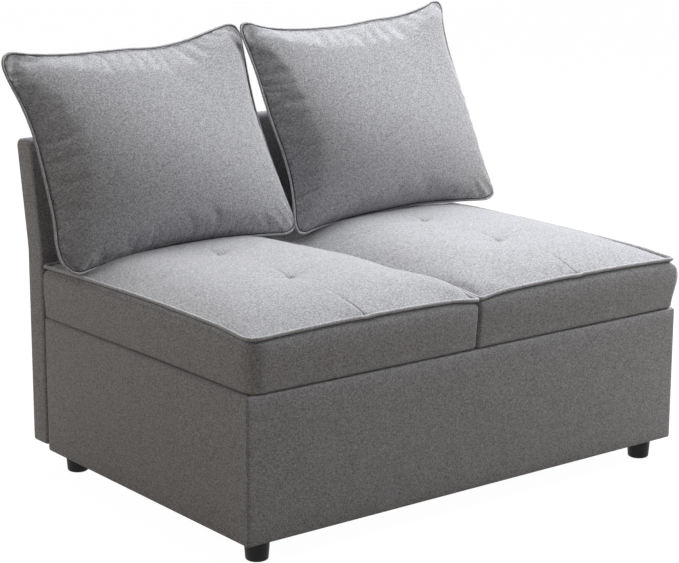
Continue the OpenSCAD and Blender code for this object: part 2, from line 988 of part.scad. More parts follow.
// A tapered foot with a rounded lower edge and the socket of its stud
module foot(p) {
    h = floor_low;
    taper = (foot_top_d - foot_bottom_d) / 2;
    e = foot_edge_r;
    slope = taper / h;
    color(black_plastic)
        placed()
            translate([p[0], p[1], 0])
                difference() {
                    rotate_extrude($fn = 64)
                        union() {
                            polygon([
                                [0, 0],
                                [foot_bottom_d / 2 - e, 0],
                                [foot_bottom_d / 2 - e, e],
                                [foot_bottom_d / 2 + slope * e, e],
                                [foot_top_d / 2, h],
                                [0, h]
                            ]);
                            intersection() {
                                translate([foot_bottom_d / 2 - e, e])
                                    circle(e);
                                square([foot_bottom_d, e + over]);
                            }
                        }
                    translate([0, 0, stud_low])
                        cylinder(d = bolt_d + 0.2, h = h);
                }
}

module front_left_foot() {
    foot(foot_xy[0]);
}

module rear_left_foot() {
    foot(foot_xy[1]);
}

module front_right_foot() {
    foot(foot_xy[2]);
}

module rear_right_foot() {
    foot(foot_xy[3]);
}

// Back panel. Its side view is drawn as [depth, height] and extruded across.

// Point on the leaning part: a distance behind the front face, and down from the top
function back_point(behind, down) = [
    back_y + (back_lean_l - down) * sin(back_lean) + behind * cos(back_lean),
    back_bend + (back_lean_l - down) * cos(back_lean) - behind * sin(back_lean)
];

function bend_point(behind) = [back_y + behind, back_bend - behind * tan(back_lean / 2)];

// Layer between two distances from the front face, from a height to near the top
module layer(from, to, low_z, down) {
    polygon([
        [back_y + from, low_z],
        [back_y + to, low_z],
        bend_point(to),
        back_point(to, down),
        back_point(from, down),
        bend_point(from)
    ]);
}

// Layer with rounded top edges
module rounded_layer(inset) {
    r = back_edge_r - inset;
    low_z = back_bottom + inset;
    layer(inset, back_t - inset, low_z, back_edge_r);
    layer(back_edge_r, back_t - back_edge_r, low_z, inset);
    for (behind = [back_edge_r, back_t - back_edge_r])
        translate(back_point(behind, back_edge_r))
            circle(r);
}

module across(w, x = 0) {
    translate([x - w / 2, 0, 0])
        rotate([90, 0, 90])
            linear_extrude(w)
                children();
}

module back_cover() {
    color(grey_fabric)
        placed()
            difference() {
                across(base_w)
                    rounded_layer(0);
                across(back_in_w)
                    rounded_layer(fabric_t);
                bolt_holes(base_d, back_y + fabric_t + over);
            }
}

module back_front_padding() {
    color(foam_colour)
        placed()
            difference() {
                across(back_in_w)
                    layer(back_pad_at, back_board_at, back_bottom + fabric_t, back_edge_r);
                bolt_holes(base_d, back_y + back_board_at + over);
            }
}

module back_rear_padding() {
    color(foam_colour)
        placed()
            across(back_in_w)
                layer(back_rear_pad_at, back_rear_at, back_bottom + fabric_t, back_edge_r);
}

module back_top_padding() {
    color(foam_colour)
        placed()
            across(back_in_w)
                difference() {
                    rounded_layer(fabric_t);
                    layer(-over, back_t + over, back_bottom - over, back_edge_r);
                }
}

module back_front_board() {
    color(ply)
        placed()
            difference() {
                across(back_in_w)
                    layer(back_board_at, back_frame_at, back_bottom + fabric_t, back_edge_r);
                bolt_holes(base_d, back_y + back_frame_at + over);
            }
}

module back_rear_board() {
    color(ply)
        placed()
            across(back_in_w)
                layer(back_rear_board_at, back_rear_pad_at, back_bottom + fabric_t, back_edge_r);
}

stile_x = [
    (back_stile_w - back_in_w) / 2,
    -bolt_middle,
    bolt_middle,
    (back_in_w - back_stile_w) / 2
];

// A kinked stile with the sockets of its two tee nuts
module stile(x) {
    rear = back_y + back_rear_board_at;
    color(pine)
        placed()
            difference() {
                across(back_stile_w, x)
                    layer(back_frame_at, back_rear_board_at, back_bottom + fabric_t, back_edge_r);
                bolt_holes(base_d, rear + over);
                bolt_holes(rear - nut_l, rear + over, nut_d + bolt_play);
                bolt_holes(rear - nut_flange_t - soft_gap, rear + over, nut_flange_d + 2);
            }
}

module back_left_stile() {
    stile(stile_x[0]);
}

module back_inner_left_stile() {
    stile(stile_x[1]);
}

module back_inner_right_stile() {
    stile(stile_x[2]);
}

module back_right_stile() {
    stile(stile_x[3]);
}

// Three lengths of rail between the four stiles
module rails() {
    color(pine)
        placed()
            for (k = [0 : 2])
                across(
                    stile_x[k + 1] - stile_x[k] - back_stile_w,
                    (stile_x[k] + stile_x[k + 1]) / 2
                )
                    children();
}

module upright_rail(low_z) {
    translate([back_y + back_frame_at, low_z])
        square([back_frame_t, back_stile_w]);
}

module back_top_rail() {
    rails()
        polygon([
            back_point(back_frame_at, back_edge_r),
            back_point(back_rear_board_at, back_edge_r),
            back_point(back_rear_board_at, back_edge_r + back_stile_w),
            back_point(back_frame_at, back_edge_r + back_stile_w)
        ]);
}

module back_seat_rail() {
    rails()
        upright_rail(bend_point(back_rear_board_at)[1] - back_stile_w);
}

module back_bottom_rail() {
    rails()
        upright_rail(back_bottom + fabric_t);
}

bolt_end_y = back_y + back_rear_board_at - nut_flange_t;

// Round-headed bolts, with their heads inside the storage spaces
module back_bolts() {
    color(steel)
        placed() {
            bolt_holes(bolt_head_y - head_t, bolt_head_y, head_d);
            bolt_holes(bolt_head_y - over, bolt_end_y, bolt_d);
        }
}

module back_washers() {
    color(steel)
        placed()
            difference() {
                bolt_holes(bolt_head_y, bolt_head_y + washer_t, washer_d);
                bolt_holes(bolt_head_y - over, bolt_head_y + washer_t + over, bolt_d + 0.4);
            }
}

module back_tee_nuts() {
    rear = back_y + back_rear_board_at;
    color(steel)
        placed()
            difference() {
                union() {
                    bolt_holes(rear - nut_flange_t, rear, nut_flange_d);
                    bolt_holes(rear - nut_l + over, rear, nut_d);
                }
                bolt_holes(rear - nut_l, rear + over, bolt_d + 0.2);
            }
}

// Left seat

module left_seat_cover() {
    color(grey_fabric)
        placed()
            seat_cover();
}

module left_seat_piping() {
    color(grey_piping)
        placed()
            seat_piping();
}

module left_seat_topper() {
    color(fibre_white)
        placed()
            seat_topper();
}

module left_seat_foam() {
    color(foam_colour)
        placed()
            seat_foam();
}

module left_seat_board() {
    color(ply)
        placed()
            seat_board();
}

module left_seat_battens() {
    color(pine)
        placed()
            seat_battens();
}

module left_seat_ties() {
    color(twine)
        placed()
            seat_ties();
}

module left_seat_underlining() {
    color(black_cloth)
        placed()
            seat_underlining();
}

// Right seat, the mirror of the left one

module right_seat_cover() {
    color(grey_fabric)
        placed()
            mirror([1, 0, 0])
                seat_cover();
}

module right_seat_piping() {
    color(grey_piping)
        placed()
            mirror([1, 0, 0])
                seat_piping();
}

module right_seat_topper() {
    color(fibre_white)
        placed()
            mirror([1, 0, 0])
                seat_topper();
}

module right_seat_foam() {
    color(foam_colour)
        placed()
            mirror([1, 0, 0])
                seat_foam();
}

module right_seat_board() {
    color(ply)
        placed()
            mirror([1, 0, 0])
                seat_board();
}

module right_seat_battens() {
    color(pine)
        placed()
            mirror([1, 0, 0])
                seat_battens();
}

module right_seat_ties() {
    color(twine)
        placed()
            mirror([1, 0, 0])
                seat_ties();
}

module right_seat_underlining() {
    color(black_cloth)
        placed()
            mirror([1, 0, 0])
                seat_underlining();
}

// Pillows

module left_pillow_cover() {
    color(grey_fabric)
        stand_left()
            pillow_cover();
}

module left_pillow_piping() {
    color(grey_piping)
        stand_left()
            pillow_piping();
}

module left_pillow_fill() {
    color(fibre_white)
        stand_left()
            pillow_fill();
}

module right_pillow_cover() {
    color(grey_fabric)
        stand_right()
            pillow_cover();
}

module right_pillow_piping() {
    color(grey_piping)
        stand_right()
            pillow_piping();
}

module right_pillow_fill() {
    color(fibre_white)
        stand_right()
            pillow_fill();
}

base_cover();
base_padding();
base_front_panel();
base_rear_panel();
base_left_panel();
base_right_panel();
base_divider();
base_floor();
corner_blocks();
underside_cloth();
left_storage_lining();
right_storage_lining();
foot_tee_nuts();
foot_studs();
front_left_foot();
front_right_foot();
rear_left_foot();
rear_right_foot();
back_cover();
back_front_padding();
back_rear_padding();
back_top_padding();
back_front_board();
back_rear_board();
back_left_stile();
back_inner_left_stile();
back_inner_right_stile();
back_right_stile();
back_top_rail();
back_seat_rail();
back_bottom_rail();
back_bolts();
back_washers();
back_tee_nuts();
left_seat_cover();
left_seat_piping();
left_seat_topper();
left_seat_foam();
left_seat_board();
left_seat_battens();
left_seat_ties();
left_seat_underlining();
right_seat_cover();
right_seat_piping();
right_seat_topper();
right_seat_foam();
right_seat_board();
right_seat_battens();
right_seat_ties();
right_seat_underlining();
left_pillow_cover();
left_pillow_piping();
left_pillow_fill();
right_pillow_cover();
right_pillow_piping();
right_pillow_fill();
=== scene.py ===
import math

import bmesh
import bpy
import numpy as np
from mathutils import Matrix, Vector


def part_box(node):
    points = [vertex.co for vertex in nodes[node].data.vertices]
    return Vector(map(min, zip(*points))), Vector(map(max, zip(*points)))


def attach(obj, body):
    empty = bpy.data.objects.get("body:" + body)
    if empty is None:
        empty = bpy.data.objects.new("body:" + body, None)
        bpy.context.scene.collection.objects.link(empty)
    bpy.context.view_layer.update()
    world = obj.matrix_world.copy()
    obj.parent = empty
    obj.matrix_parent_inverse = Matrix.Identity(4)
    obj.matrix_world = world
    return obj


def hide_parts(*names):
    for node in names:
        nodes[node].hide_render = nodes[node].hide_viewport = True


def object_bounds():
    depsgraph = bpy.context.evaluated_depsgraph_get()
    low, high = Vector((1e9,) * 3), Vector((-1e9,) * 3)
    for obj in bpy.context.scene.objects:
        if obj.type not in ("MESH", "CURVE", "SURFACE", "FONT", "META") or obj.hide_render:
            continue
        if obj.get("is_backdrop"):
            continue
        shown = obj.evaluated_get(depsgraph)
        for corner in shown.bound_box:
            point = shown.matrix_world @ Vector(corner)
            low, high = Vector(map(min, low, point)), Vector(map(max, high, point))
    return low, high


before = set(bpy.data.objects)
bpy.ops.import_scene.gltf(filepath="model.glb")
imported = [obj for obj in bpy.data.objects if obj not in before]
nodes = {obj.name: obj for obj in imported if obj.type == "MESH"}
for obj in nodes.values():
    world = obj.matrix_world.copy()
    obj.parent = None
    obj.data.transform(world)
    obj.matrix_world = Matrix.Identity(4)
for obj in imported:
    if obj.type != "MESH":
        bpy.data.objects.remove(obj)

cadLow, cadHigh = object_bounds()
scene = bpy.context.scene

boxLow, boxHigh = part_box("base_cover")  # the upholstered box, the reference for most pieces
boxFront, boxRear = boxLow.y, boxHigh.y
boxHalf = boxHigh.x
rim = boxHigh.z
print("frame loaded,", len(nodes), "solids")


# camera and lamps

view = {
    "place": (-2.8367, -3.6207, 1.5284),
    "azimuth": 37.77,  # degrees, from straight ahead towards the right
    "elevation": 13.54,  # degrees, looking down
    "roll": 0.196,
    "focal": 2081.37,  # in pixels of a picture 679 wide
    "wide": 679,
}

az, el = math.radians(view["azimuth"]), math.radians(view["elevation"])
ahead = Vector((math.sin(az) * math.cos(el), math.cos(az) * math.cos(el), -math.sin(el)))
side = Vector((math.cos(az), -math.sin(az), 0))
up = side.cross(ahead)
camera = bpy.data.objects.new("camera", bpy.data.cameras.new("camera"))
scene.collection.objects.link(camera)
turn = Matrix((side, up, -ahead)).transposed() @ Matrix.Rotation(math.radians(view["roll"]), 3, "Z")
camera.matrix_world = Matrix.Translation(view["place"]) @ turn.to_4x4()
camera.data.sensor_width = 36
camera.data.lens = 36 * view["focal"] / view["wide"]
camera.data.clip_end = 60
scene.camera = camera

lamps = {
    "soft box right": {"place": (2.8, -0.6, 2.6), "size": 2.6, "power": 138, "tint": (0.975, 0.99, 1.0)},
    "soft box behind": {"place": (0.8, 1.4, 3.0), "size": 2.6, "power": 100, "tint": (0.975, 0.99, 1.0)},
    "left fill": {"place": (-3.1, 0.8, 1.5), "size": 1.6, "power": 11.5, "tint": (1.0, 0.90, 0.80)},
}
lampAim = Vector((0.05, -0.05, 0.45))
for name, lamp in lamps.items():
    light = bpy.data.lights.new(name, "AREA")
    light.shape = "DISK"
    light.size = lamp["size"]
    light.energy = lamp["power"]
    light.color = lamp["tint"]
    bulb = bpy.data.objects.new(name, light)
    scene.collection.objects.link(bulb)
    place = Vector(lamp["place"])
    aim = lampAim - place
    bulb.matrix_world = Matrix.Translation(place) @ aim.to_track_quat("-Z", "Y").to_matrix().to_4x4()

scene.view_settings.view_transform = "Standard"
print("camera and lamps set")


# node helpers

class NodeLines:
    # a node tree that is made one line at a time

    def __init__(self, tree):
        self.tree = tree

    def put(self, socket, value):
        # a plain value, or a link from a socket or from a node's first output
        if isinstance(value, bpy.types.Node):
            value = value.outputs[0]
        if isinstance(value, bpy.types.NodeSocket):
            self.tree.links.new(value, socket)
        else:
            socket.default_value = value

    def make(self, kind, inputs, **traits):
        # a node with some of its inputs, by name or by number
        node = self.tree.nodes.new(kind)
        for trait, value in traits.items():
            setattr(node, trait, value)
        for key, value in inputs.items():
            self.put(node.inputs[key], value)
        return node

    def sum(self, kind, *values):
        return self.make("ShaderNodeMath", dict(enumerate(values)), operation=kind)

    def times(self, one, other):
        return self.sum("MULTIPLY", one, other)

    def plus(self, one, other):
        return self.sum("ADD", one, other)

    def point(self, x, y, z=0.0):
        return self.make("ShaderNodeCombineXYZ", {0: x, 1: y, 2: z})

    def cloud(self, where, size, detail=2.0, rough=0.5):
        spread = {"Vector": where, "Scale": size, "Detail": detail, "Roughness": rough}
        return self.make("ShaderNodeTexNoise", spread).outputs["Fac"]

    def span(self, value, low, high, to=(0.0, 1.0)):
        return self.make("ShaderNodeMapRange", dict(enumerate((value, low, high, *to))), clamp=True)

    def blend(self, share, one, other):
        colors = {6: (*one, 1), 7: (*other, 1)}
        return self.make("ShaderNodeMix", {0: share, **colors}, data_type="RGBA").outputs[2]

    def shown(self):
        # 1 for the rays that see the white backdrop: from the camera, a mirror or glass
        rays = self.make("ShaderNodeLightPath", {}).outputs
        bent = self.sum("MAXIMUM", rays["Is Glossy Ray"], rays["Is Transmission Ray"])
        return self.sum("MAXIMUM", rays["Is Camera Ray"], bent)


class Finish(NodeLines):
    # a material with one shader

    def __init__(self, name):
        self.material = bpy.data.materials.new(name)
        self.material.use_nodes = True
        super().__init__(self.material.node_tree)
        self.skin = self.tree.nodes["Principled BSDF"]

    def surface(self, values):
        for name, value in values.items():
            self.put(self.skin.inputs[name], value)

    def relief(self, height, depth, strength=1.0):
        bump = {"Distance": depth, "Strength": strength, "Height": height}
        self.surface({"Normal": self.make("ShaderNodeBump", bump)})

    def cloth(self):
        # along and across the cloth, in metres
        where = self.make("ShaderNodeUVMap", {}, uv_map="cloth")
        parts = self.make("ShaderNodeSeparateXYZ", {0: where})
        return parts.outputs[0], parts.outputs[1]

    def place(self):
        return self.make("ShaderNodeTexCoord", {}).outputs["Object"]

    def checks(self, u, v, size):
        # the squares of a plain weave, from -1 to 1
        k = math.pi / size
        return self.times(self.sum("SINE", self.times(u, k)), self.sum("SINE", self.times(v, k)))


# backdrop and floor

room = {
    "above": (0.186, 0.184, 0.184),  # light from the ceiling
    "around": (0.025, 0.0235, 0.022),  # light from near the horizon
    "floorTone": (0.35, 0.315, 0.275),
    "floorSeen": 0.08,  # how much light and shadow the camera sees on the floor
    "floorGlow": 0.982,
    "floorReach": 20,
}

world = bpy.data.worlds.new("studio")
scene.world = world
world.use_nodes = True
world.node_tree.nodes.clear()
w = NodeLines(world.node_tree)
ways = w.make("ShaderNodeTexCoord", {}).outputs["Generated"]
height = w.make("ShaderNodeSeparateXYZ", {0: ways}).outputs["Z"]
sky = w.blend(w.span(height, 0.0, 0.8), room["around"], room["above"])
dim = w.make("ShaderNodeBackground", {"Color": sky})
bright = w.make("ShaderNodeBackground", {"Color": (1, 1, 1, 1)})
w.make("ShaderNodeOutputWorld", {0: w.make("ShaderNodeMixShader", {0: w.shown(), 1: dim, 2: bright})})

floor = Finish("pale floor")
glow = floor.make("ShaderNodeEmission", {"Strength": room["floorGlow"]})
lit = floor.make("ShaderNodeBsdfDiffuse", {"Color": (room["floorSeen"],) * 3 + (1,)})
both = floor.make("ShaderNodeAddShader", {0: glow, 1: lit})
plain = floor.make("ShaderNodeBsdfDiffuse", {"Color": (*room["floorTone"], 1)})
pick = floor.make("ShaderNodeMixShader", {0: floor.shown(), 1: plain, 2: both})
floor.put(floor.tree.nodes["Material Output"].inputs["Surface"], pick)
ground = bpy.data.objects.new("floor", bpy.data.meshes.new("floor"))
far = room["floorReach"]
corners = [(-far, -far, 0), (far, -far, 0), (far, far, 0), (-far, far, 0)]
ground.data.from_pydata(corners, [], [(0, 1, 2, 3)])
ground.data.materials.append(floor.material)
scene.collection.objects.link(ground)
ground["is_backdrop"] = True
print("backdrop and floor made")


# finishes

wool = {
    "dark": (0.232, 0.231, 0.242),  # the darker yarns
    "light": (0.577, 0.574, 0.600),  # the lighter yarns
    "pitch": 0.0016,  # from yarn to yarn
    "slub": 0.007,  # length of the streaks along a yarn
    "speck": 0.0032,  # size of the specks of lighter and darker fibre
    "blotch": 1 / 45,  # size of faint uneven places
    "fluff": 0.22,
}


def greyWeave(name, turned=False, paintedHighlight=1.0):
    f = Finish(name)
    u, v = f.cloth()
    if turned:  # cut on the bias
        u, v = f.plus(u, v), f.sum("SUBTRACT", u, v)
    over = f.checks(u, v, wool["pitch"])
    fine, long = 0.9 / wool["pitch"], 1 / wool["slub"]
    warp = f.cloud(f.point(f.times(u, fine), f.times(v, long), 0.3), 1.0, 1.0)
    weft = f.cloud(f.point(f.times(u, long), f.times(v, fine), 5.7), 1.0, 1.0)
    yarn = f.make("ShaderNodeMix", {0: f.span(over, -0.25, 0.25), 2: warp, 3: weft})
    speck = f.cloud(f.point(u, v, 1.9), 1 / wool["speck"], 1.0)
    blotch = f.cloud(f.point(u, v, 8.1), 1 / wool["blotch"])
    tone = f.plus(f.plus(f.times(yarn, 0.40), f.times(speck, 0.55)), f.times(blotch, 0.05))
    # a paintedHighlight above 1 lightens both yarn colours: painted highlight, for a part that catches the
    # light
    dark, light = (tuple(c * paintedHighlight for c in wool[k]) for k in ("dark", "light"))
    f.surface({
        "Base Color": f.blend(f.span(tone, 0.36, 0.64), dark, light),
        "Roughness": 0.88,
        "Specular IOR Level": 0.18,
        "Sheen Weight": wool["fluff"],
        "Sheen Roughness": 0.45,
        "Sheen Tint": (0.95, 0.96, 1.0, 1),
    })
    f.relief(f.plus(f.times(over, 0.35), f.times(tone, 0.9)), 0.0005, 0.55)
    return f.material


def blackCloth(name):
    f = Finish(name)
    u, v = f.cloth()
    felt = f.cloud(f.point(u, v), 900.0, 4.0, 0.7)
    color = f.blend(f.span(felt, 0.3, 0.7), (0.018, 0.018, 0.020), (0.050, 0.050, 0.053))
    f.surface({"Base Color": color, "Roughness": 0.82, "Sheen Weight": 0.12})
    f.relief(f.plus(felt, f.times(f.checks(u, v, 0.0022), -0.35)), 0.0003, 0.6)
    return f.material


def blackPlastic(name):
    f = Finish(name)
    scuff = f.cloud(f.place(), 55.0, 4.0)
    f.surface({
        "Base Color": f.blend(scuff, (0.004, 0.004, 0.004), (0.009, 0.0088, 0.0085)),
        "Roughness": f.span(scuff, 0.3, 0.7, (0.40, 0.56)),
        "Specular IOR Level": 0.22,
    })
    f.relief(f.cloud(f.place(), 1400.0, 3.0, 0.6), 0.0002, 0.35)
    return f.material


def board(name, pale, dark, along):
    # grain runs along one axis, 0 to 2
    f = Finish(name)
    stretch = [26.0, 26.0, 26.0]
    stretch[along] = 1.6
    where = f.make("ShaderNodeMapping", {"Vector": f.place(), "Scale": stretch})
    fibre = f.cloud(where, 14.0, 3.0, 0.6)
    bow = {"Vector": where, "Scale": 0.9, "Distortion": 5.0, "Detail": 2.0}
    rings = f.make("ShaderNodeTexWave", bow, bands_direction="XYZ"[(along + 1) % 3]).outputs["Fac"]
    grain = f.plus(f.times(f.cloud(where, 1.0, 5.0, 0.62), 0.5), f.times(rings, 0.5))
    tone = f.plus(f.times(grain, 0.7), f.times(fibre, 0.3))
    f.surface({"Base Color": f.blend(f.span(tone, 0.28, 0.72), dark, pale), "Roughness": 0.66})
    f.relief(fibre, 0.0004, 0.5)
    return f.material


def zincSteel(name):
    f = Finish(name)
    bloom = f.cloud(f.place(), 240.0, 3.0)
    f.surface({
        "Base Color": f.blend(bloom, (0.48, 0.49, 0.50), (0.64, 0.64, 0.62)),
        "Roughness": f.span(bloom, 0.3, 0.7, (0.26, 0.42)),
        "Metallic": 1.0,
    })
    f.relief(f.cloud(f.place(), 1800.0), 0.0001, 0.3)
    return f.material


def waxedTwine(name, dark, light):
    f = Finish(name)
    lay = f.sum("SINE", f.times(f.plus(*f.cloth()), math.pi / 0.0009))
    f.surface({"Base Color": f.blend(f.span(lay, -1.0, 1.0), dark, light), "Roughness": 0.6})
    f.relief(lay, 0.0003, 0.6)
    return f.material


greyFabric = greyWeave("grey woven fabric")
# the piping's yarns are drawn about a third lighter than the cloth: painted highlight where the tube catches
# the light
pipingHighlitFabric = greyWeave("piping cut on the bias with painted highlight", turned=True, paintedHighlight=1.32)
liningCloth = blackCloth("black lining cloth")
footPlastic = blackPlastic("black moulded plastic")
threadTwine = waxedTwine("tuft twine", (0.26, 0.26, 0.265), (0.42, 0.42, 0.425))
# a sewing thread, drawn near black so that its cords along the piping darken the seams: painted shade
seamThreadAndShade = waxedTwine("charcoal sewing thread and painted seam shade", (0.018, 0.018, 0.020), (0.045, 0.045, 0.048))
stapleSteel = zincSteel("zinc plated steel")
print("finishes made")


# mesh helpers

def ripple(points, size, seed, waves=14):
    # smooth waviness between about -1 and 1, the same at each run
    rng = np.random.default_rng(seed)
    ways = rng.normal(size=(waves, 3))
    ways /= np.linalg.norm(ways, axis=1)[:, None]
    ways *= (2 * np.pi / size) * rng.uniform(0.6, 1.5, (waves, 1))
    start = rng.uniform(0, 2 * np.pi, waves)
    return np.sin(points @ ways.T + start).sum(-1) / math.sqrt(waves)


def stations(count, spots, sharpness=0.05, extra=6.0):
    # count + 1 values from -1 to 1, closer together near the spots
    x = np.linspace(-1, 1, 4001)
    dense = 1 + extra * sum(np.exp(-((x - s) / sharpness) ** 2) for s in spots)
    run = np.concatenate([[0], np.cumsum((dense[1:] + dense[:-1]) / 2)])
    return np.interp(np.linspace(0, run[-1], count + 1), run, x)


def smooth(x):
    x = np.clip(x, 0, 1)
    return x * x * (3 - 2 * x)


def arc(x, y, r, start, end, count):
    # points round a centre, with angles in degrees
    return [(x + r * math.cos(a), y + r * math.sin(a)) for a in np.radians(np.linspace(start, end, count))]


def bell(x, y=0):
    return np.exp(-x ** 2 - y ** 2)


def curve(values, t):
    # a smooth line through values that lie evenly from -1 to 1
    v = np.array(values, float)
    slope = np.gradient(v)
    x = np.clip((t + 1) / 2 * (len(v) - 1), 0, len(v) - 1.000001)
    k = x.astype(int)
    f = x - k
    a, b, p, q = v[k], v[k + 1], slope[k], slope[k + 1]
    return a + f * p + f * f * (3 * (b - a) - 2 * p - q) + f ** 3 * (2 * (a - b) + p + q)


def roundCorners(x, y, halfX, halfY, r):
    # a rectangle's points drawn in smoothly, so that its corners become arcs
    p = np.clip((np.abs(x) - (halfX - r)) / r, 0, 1)
    q = np.clip((np.abs(y) - (halfY - r)) / r, 0, 1)
    rx = np.where(p > 0, halfX - r + r * p * np.sqrt(1 - q * q / 2), np.abs(x))
    ry = np.where(q > 0, halfY - r + r * q * np.sqrt(1 - p * p / 2), np.abs(y))
    return np.sign(x) * rx, np.sign(y) * ry


def runOf(points, closed=False):
    # distance along a line of points
    line = np.concatenate([points, points[:1]]) if closed else points
    return np.concatenate([[0], np.cumsum(np.linalg.norm(np.diff(line, axis=0), axis=1))])


def patch(ids, u, v, flip=False):
    # squares of a grid of point numbers, with cloth coordinates for their corners
    faces = np.stack([ids[:-1, :-1], ids[1:, :-1], ids[1:, 1:], ids[:-1, 1:]], -1).reshape(-1, 4)
    c = np.stack([u, v], -1)
    uv = np.stack([c[:-1, :-1], c[1:, :-1], c[1:, 1:], c[:-1, 1:]], -2).reshape(-1, 4, 2)
    return (faces[:, ::-1], uv[:, ::-1]) if flip else (faces, uv)


def fan(ring, middle, points, flip=False):
    # triangles from a closed ring of point numbers to a middle point
    faces = np.stack([ring, np.roll(ring, -1), np.full(len(ring), middle)], -1)
    uv = points[faces][..., :2]
    return (faces[:, ::-1], uv[:, ::-1]) if flip else (faces, uv)


def border(ids):
    # the point numbers along the edge of a grid, all the way round
    return np.concatenate([ids[:-1, 0], ids[-1, :-1], ids[:0:-1, -1], ids[0, :0:-1]])


def wrapped(ids):
    # a grid of point numbers whose last column meets its first
    return np.concatenate([ids, ids[:, :1]], 1)


def grid(start, *size):
    # a grid of fresh point numbers
    return start + np.arange(math.prod(size)).reshape(size)


def makePiece(name, points, patches, finish):
    mesh = bpy.data.meshes.new(name)
    faces = [tuple(int(i) for i in f) for part, _ in patches for f in part]
    mesh.from_pydata([tuple(map(float, p)) for p in points], [], faces)
    uv = np.concatenate([c.reshape(-1, 2) for _, c in patches])
    mesh.uv_layers.new(name="cloth").data.foreach_set("uv", uv.astype(np.float32).ravel())
    edit = bmesh.new()
    edit.from_mesh(mesh)
    bmesh.ops.recalc_face_normals(edit, faces=edit.faces)
    edit.to_mesh(mesh)
    edit.free()
    mesh.polygons.foreach_set("use_smooth", [True] * len(mesh.polygons))
    mesh.materials.append(finish)
    piece = bpy.data.objects.new(name, mesh)
    scene.collection.objects.link(piece)
    return piece


def read(items, trait, size=1, kind=np.float32):
    values = np.zeros(len(items) * size, kind)
    items.foreach_get(trait, values)
    return values.reshape(-1, size)


def pointsOf(piece):
    return read(piece.data.vertices, "co", 3).astype(float)


def setPoints(piece, points):
    piece.data.vertices.foreach_set("co", points.astype(np.float32).ravel())
    piece.data.update()


def bake(piece):
    # the piece with its modifiers applied
    mesh = bpy.data.meshes.new_from_object(piece.evaluated_get(bpy.context.evaluated_depsgraph_get()))
    piece.modifiers.clear()
    piece.data = mesh


def finer(piece):
    piece.modifiers.new("finer", "SUBSURF").levels = 1
    piece.modifiers["finer"].render_levels = 1
    bake(piece)


def closeHole(piece):
    # the open edge of a hidden underside is closed by one flat face
    edit = bmesh.new()
    edit.from_mesh(piece.data)
    made = bmesh.ops.holes_fill(edit, edges=[e for e in edit.edges if e.is_boundary])
    for face in made["faces"]:
        face.smooth = False
    edit.to_mesh(piece.data)
    edit.free()


def barrel(rings, line=0):
    # a skin over closed rings of equally many points: its points, their numbers and its squares
    rings = np.array(rings)
    ids = grid(0, *rings.shape[:2])
    around = runOf(rings[len(rings) // 2], closed=True)
    u, v = np.meshgrid(runOf(rings[:, line]), around, indexing="ij")
    return rings.reshape(-1, 3), ids, [patch(wrapped(ids), v, u, flip=True)]


def loft(name, rings, finish, capStart=None, capEnd=None):
    # the skin with flat caps round a middle point
    points, ids, patches = barrel(rings)
    for middle, ring, flip in ((capStart, ids[0], False), (capEnd, ids[-1], True)):
        if middle is not None:
            points = np.concatenate([points, [middle]])
            patches.append(fan(ring, len(points) - 1, points, flip))
    return makePiece(name, points, patches, finish)


def tube(line, along, radius, sides):
    # rings of points round a line, whose direction and radius are known at each place
    along = along / np.linalg.norm(along, axis=1)[:, None]
    out = np.cross(along, [0.0, 0.0, 1.0])
    out /= np.linalg.norm(out, axis=1)[:, None]
    top = np.cross(out, along)
    a = np.linspace(0, 2 * np.pi, sides, endpoint=False)
    ring = np.cos(a)[None, :, None] * out[:, None] + np.sin(a)[None, :, None] * top[:, None]
    return line[:, None] + ring * radius[:, None, None]


def tubePatch(ids, run, radius):
    u, v = np.meshgrid(run, np.linspace(0, 2 * np.pi * radius, ids.shape[1] + 1), indexing="ij")
    return patch(wrapped(ids), u, v)


def cordOn(name, path, radius, finish, sides=10):
    # a round cord on a closed path
    along = np.roll(path, -1, 0) - np.roll(path, 1, 0)
    points = tube(path, along, radius * (1 + 0.05 * ripple(path, 0.03, 5)), sides)
    ids = grid(0, len(path), sides)
    skin = tubePatch(np.concatenate([ids, ids[:1]]), runOf(path, closed=True), radius)
    return makePiece(name, points.reshape(-1, 3), [skin], finish)


def openCords(name, lines, radius, finish, sides=8):
    # round cords with closed ends, in one piece
    points, patches = np.zeros((0, 3)), []
    for line in lines:
        taper = np.ones(len(line))
        taper[[0, -1]] = 0.5
        skin = tube(line, np.gradient(line, axis=0), radius * taper, sides).reshape(-1, 3)
        ids = grid(len(points), len(line), sides)
        points = np.concatenate([points, skin, [line[0], line[-1]]])
        patches.append(tubePatch(ids, runOf(line), radius))
        patches.append(fan(ids[0], len(points) - 2, points))
        patches.append(fan(ids[-1], len(points) - 1, points, flip=True))
    return makePiece(name, points, patches, finish)


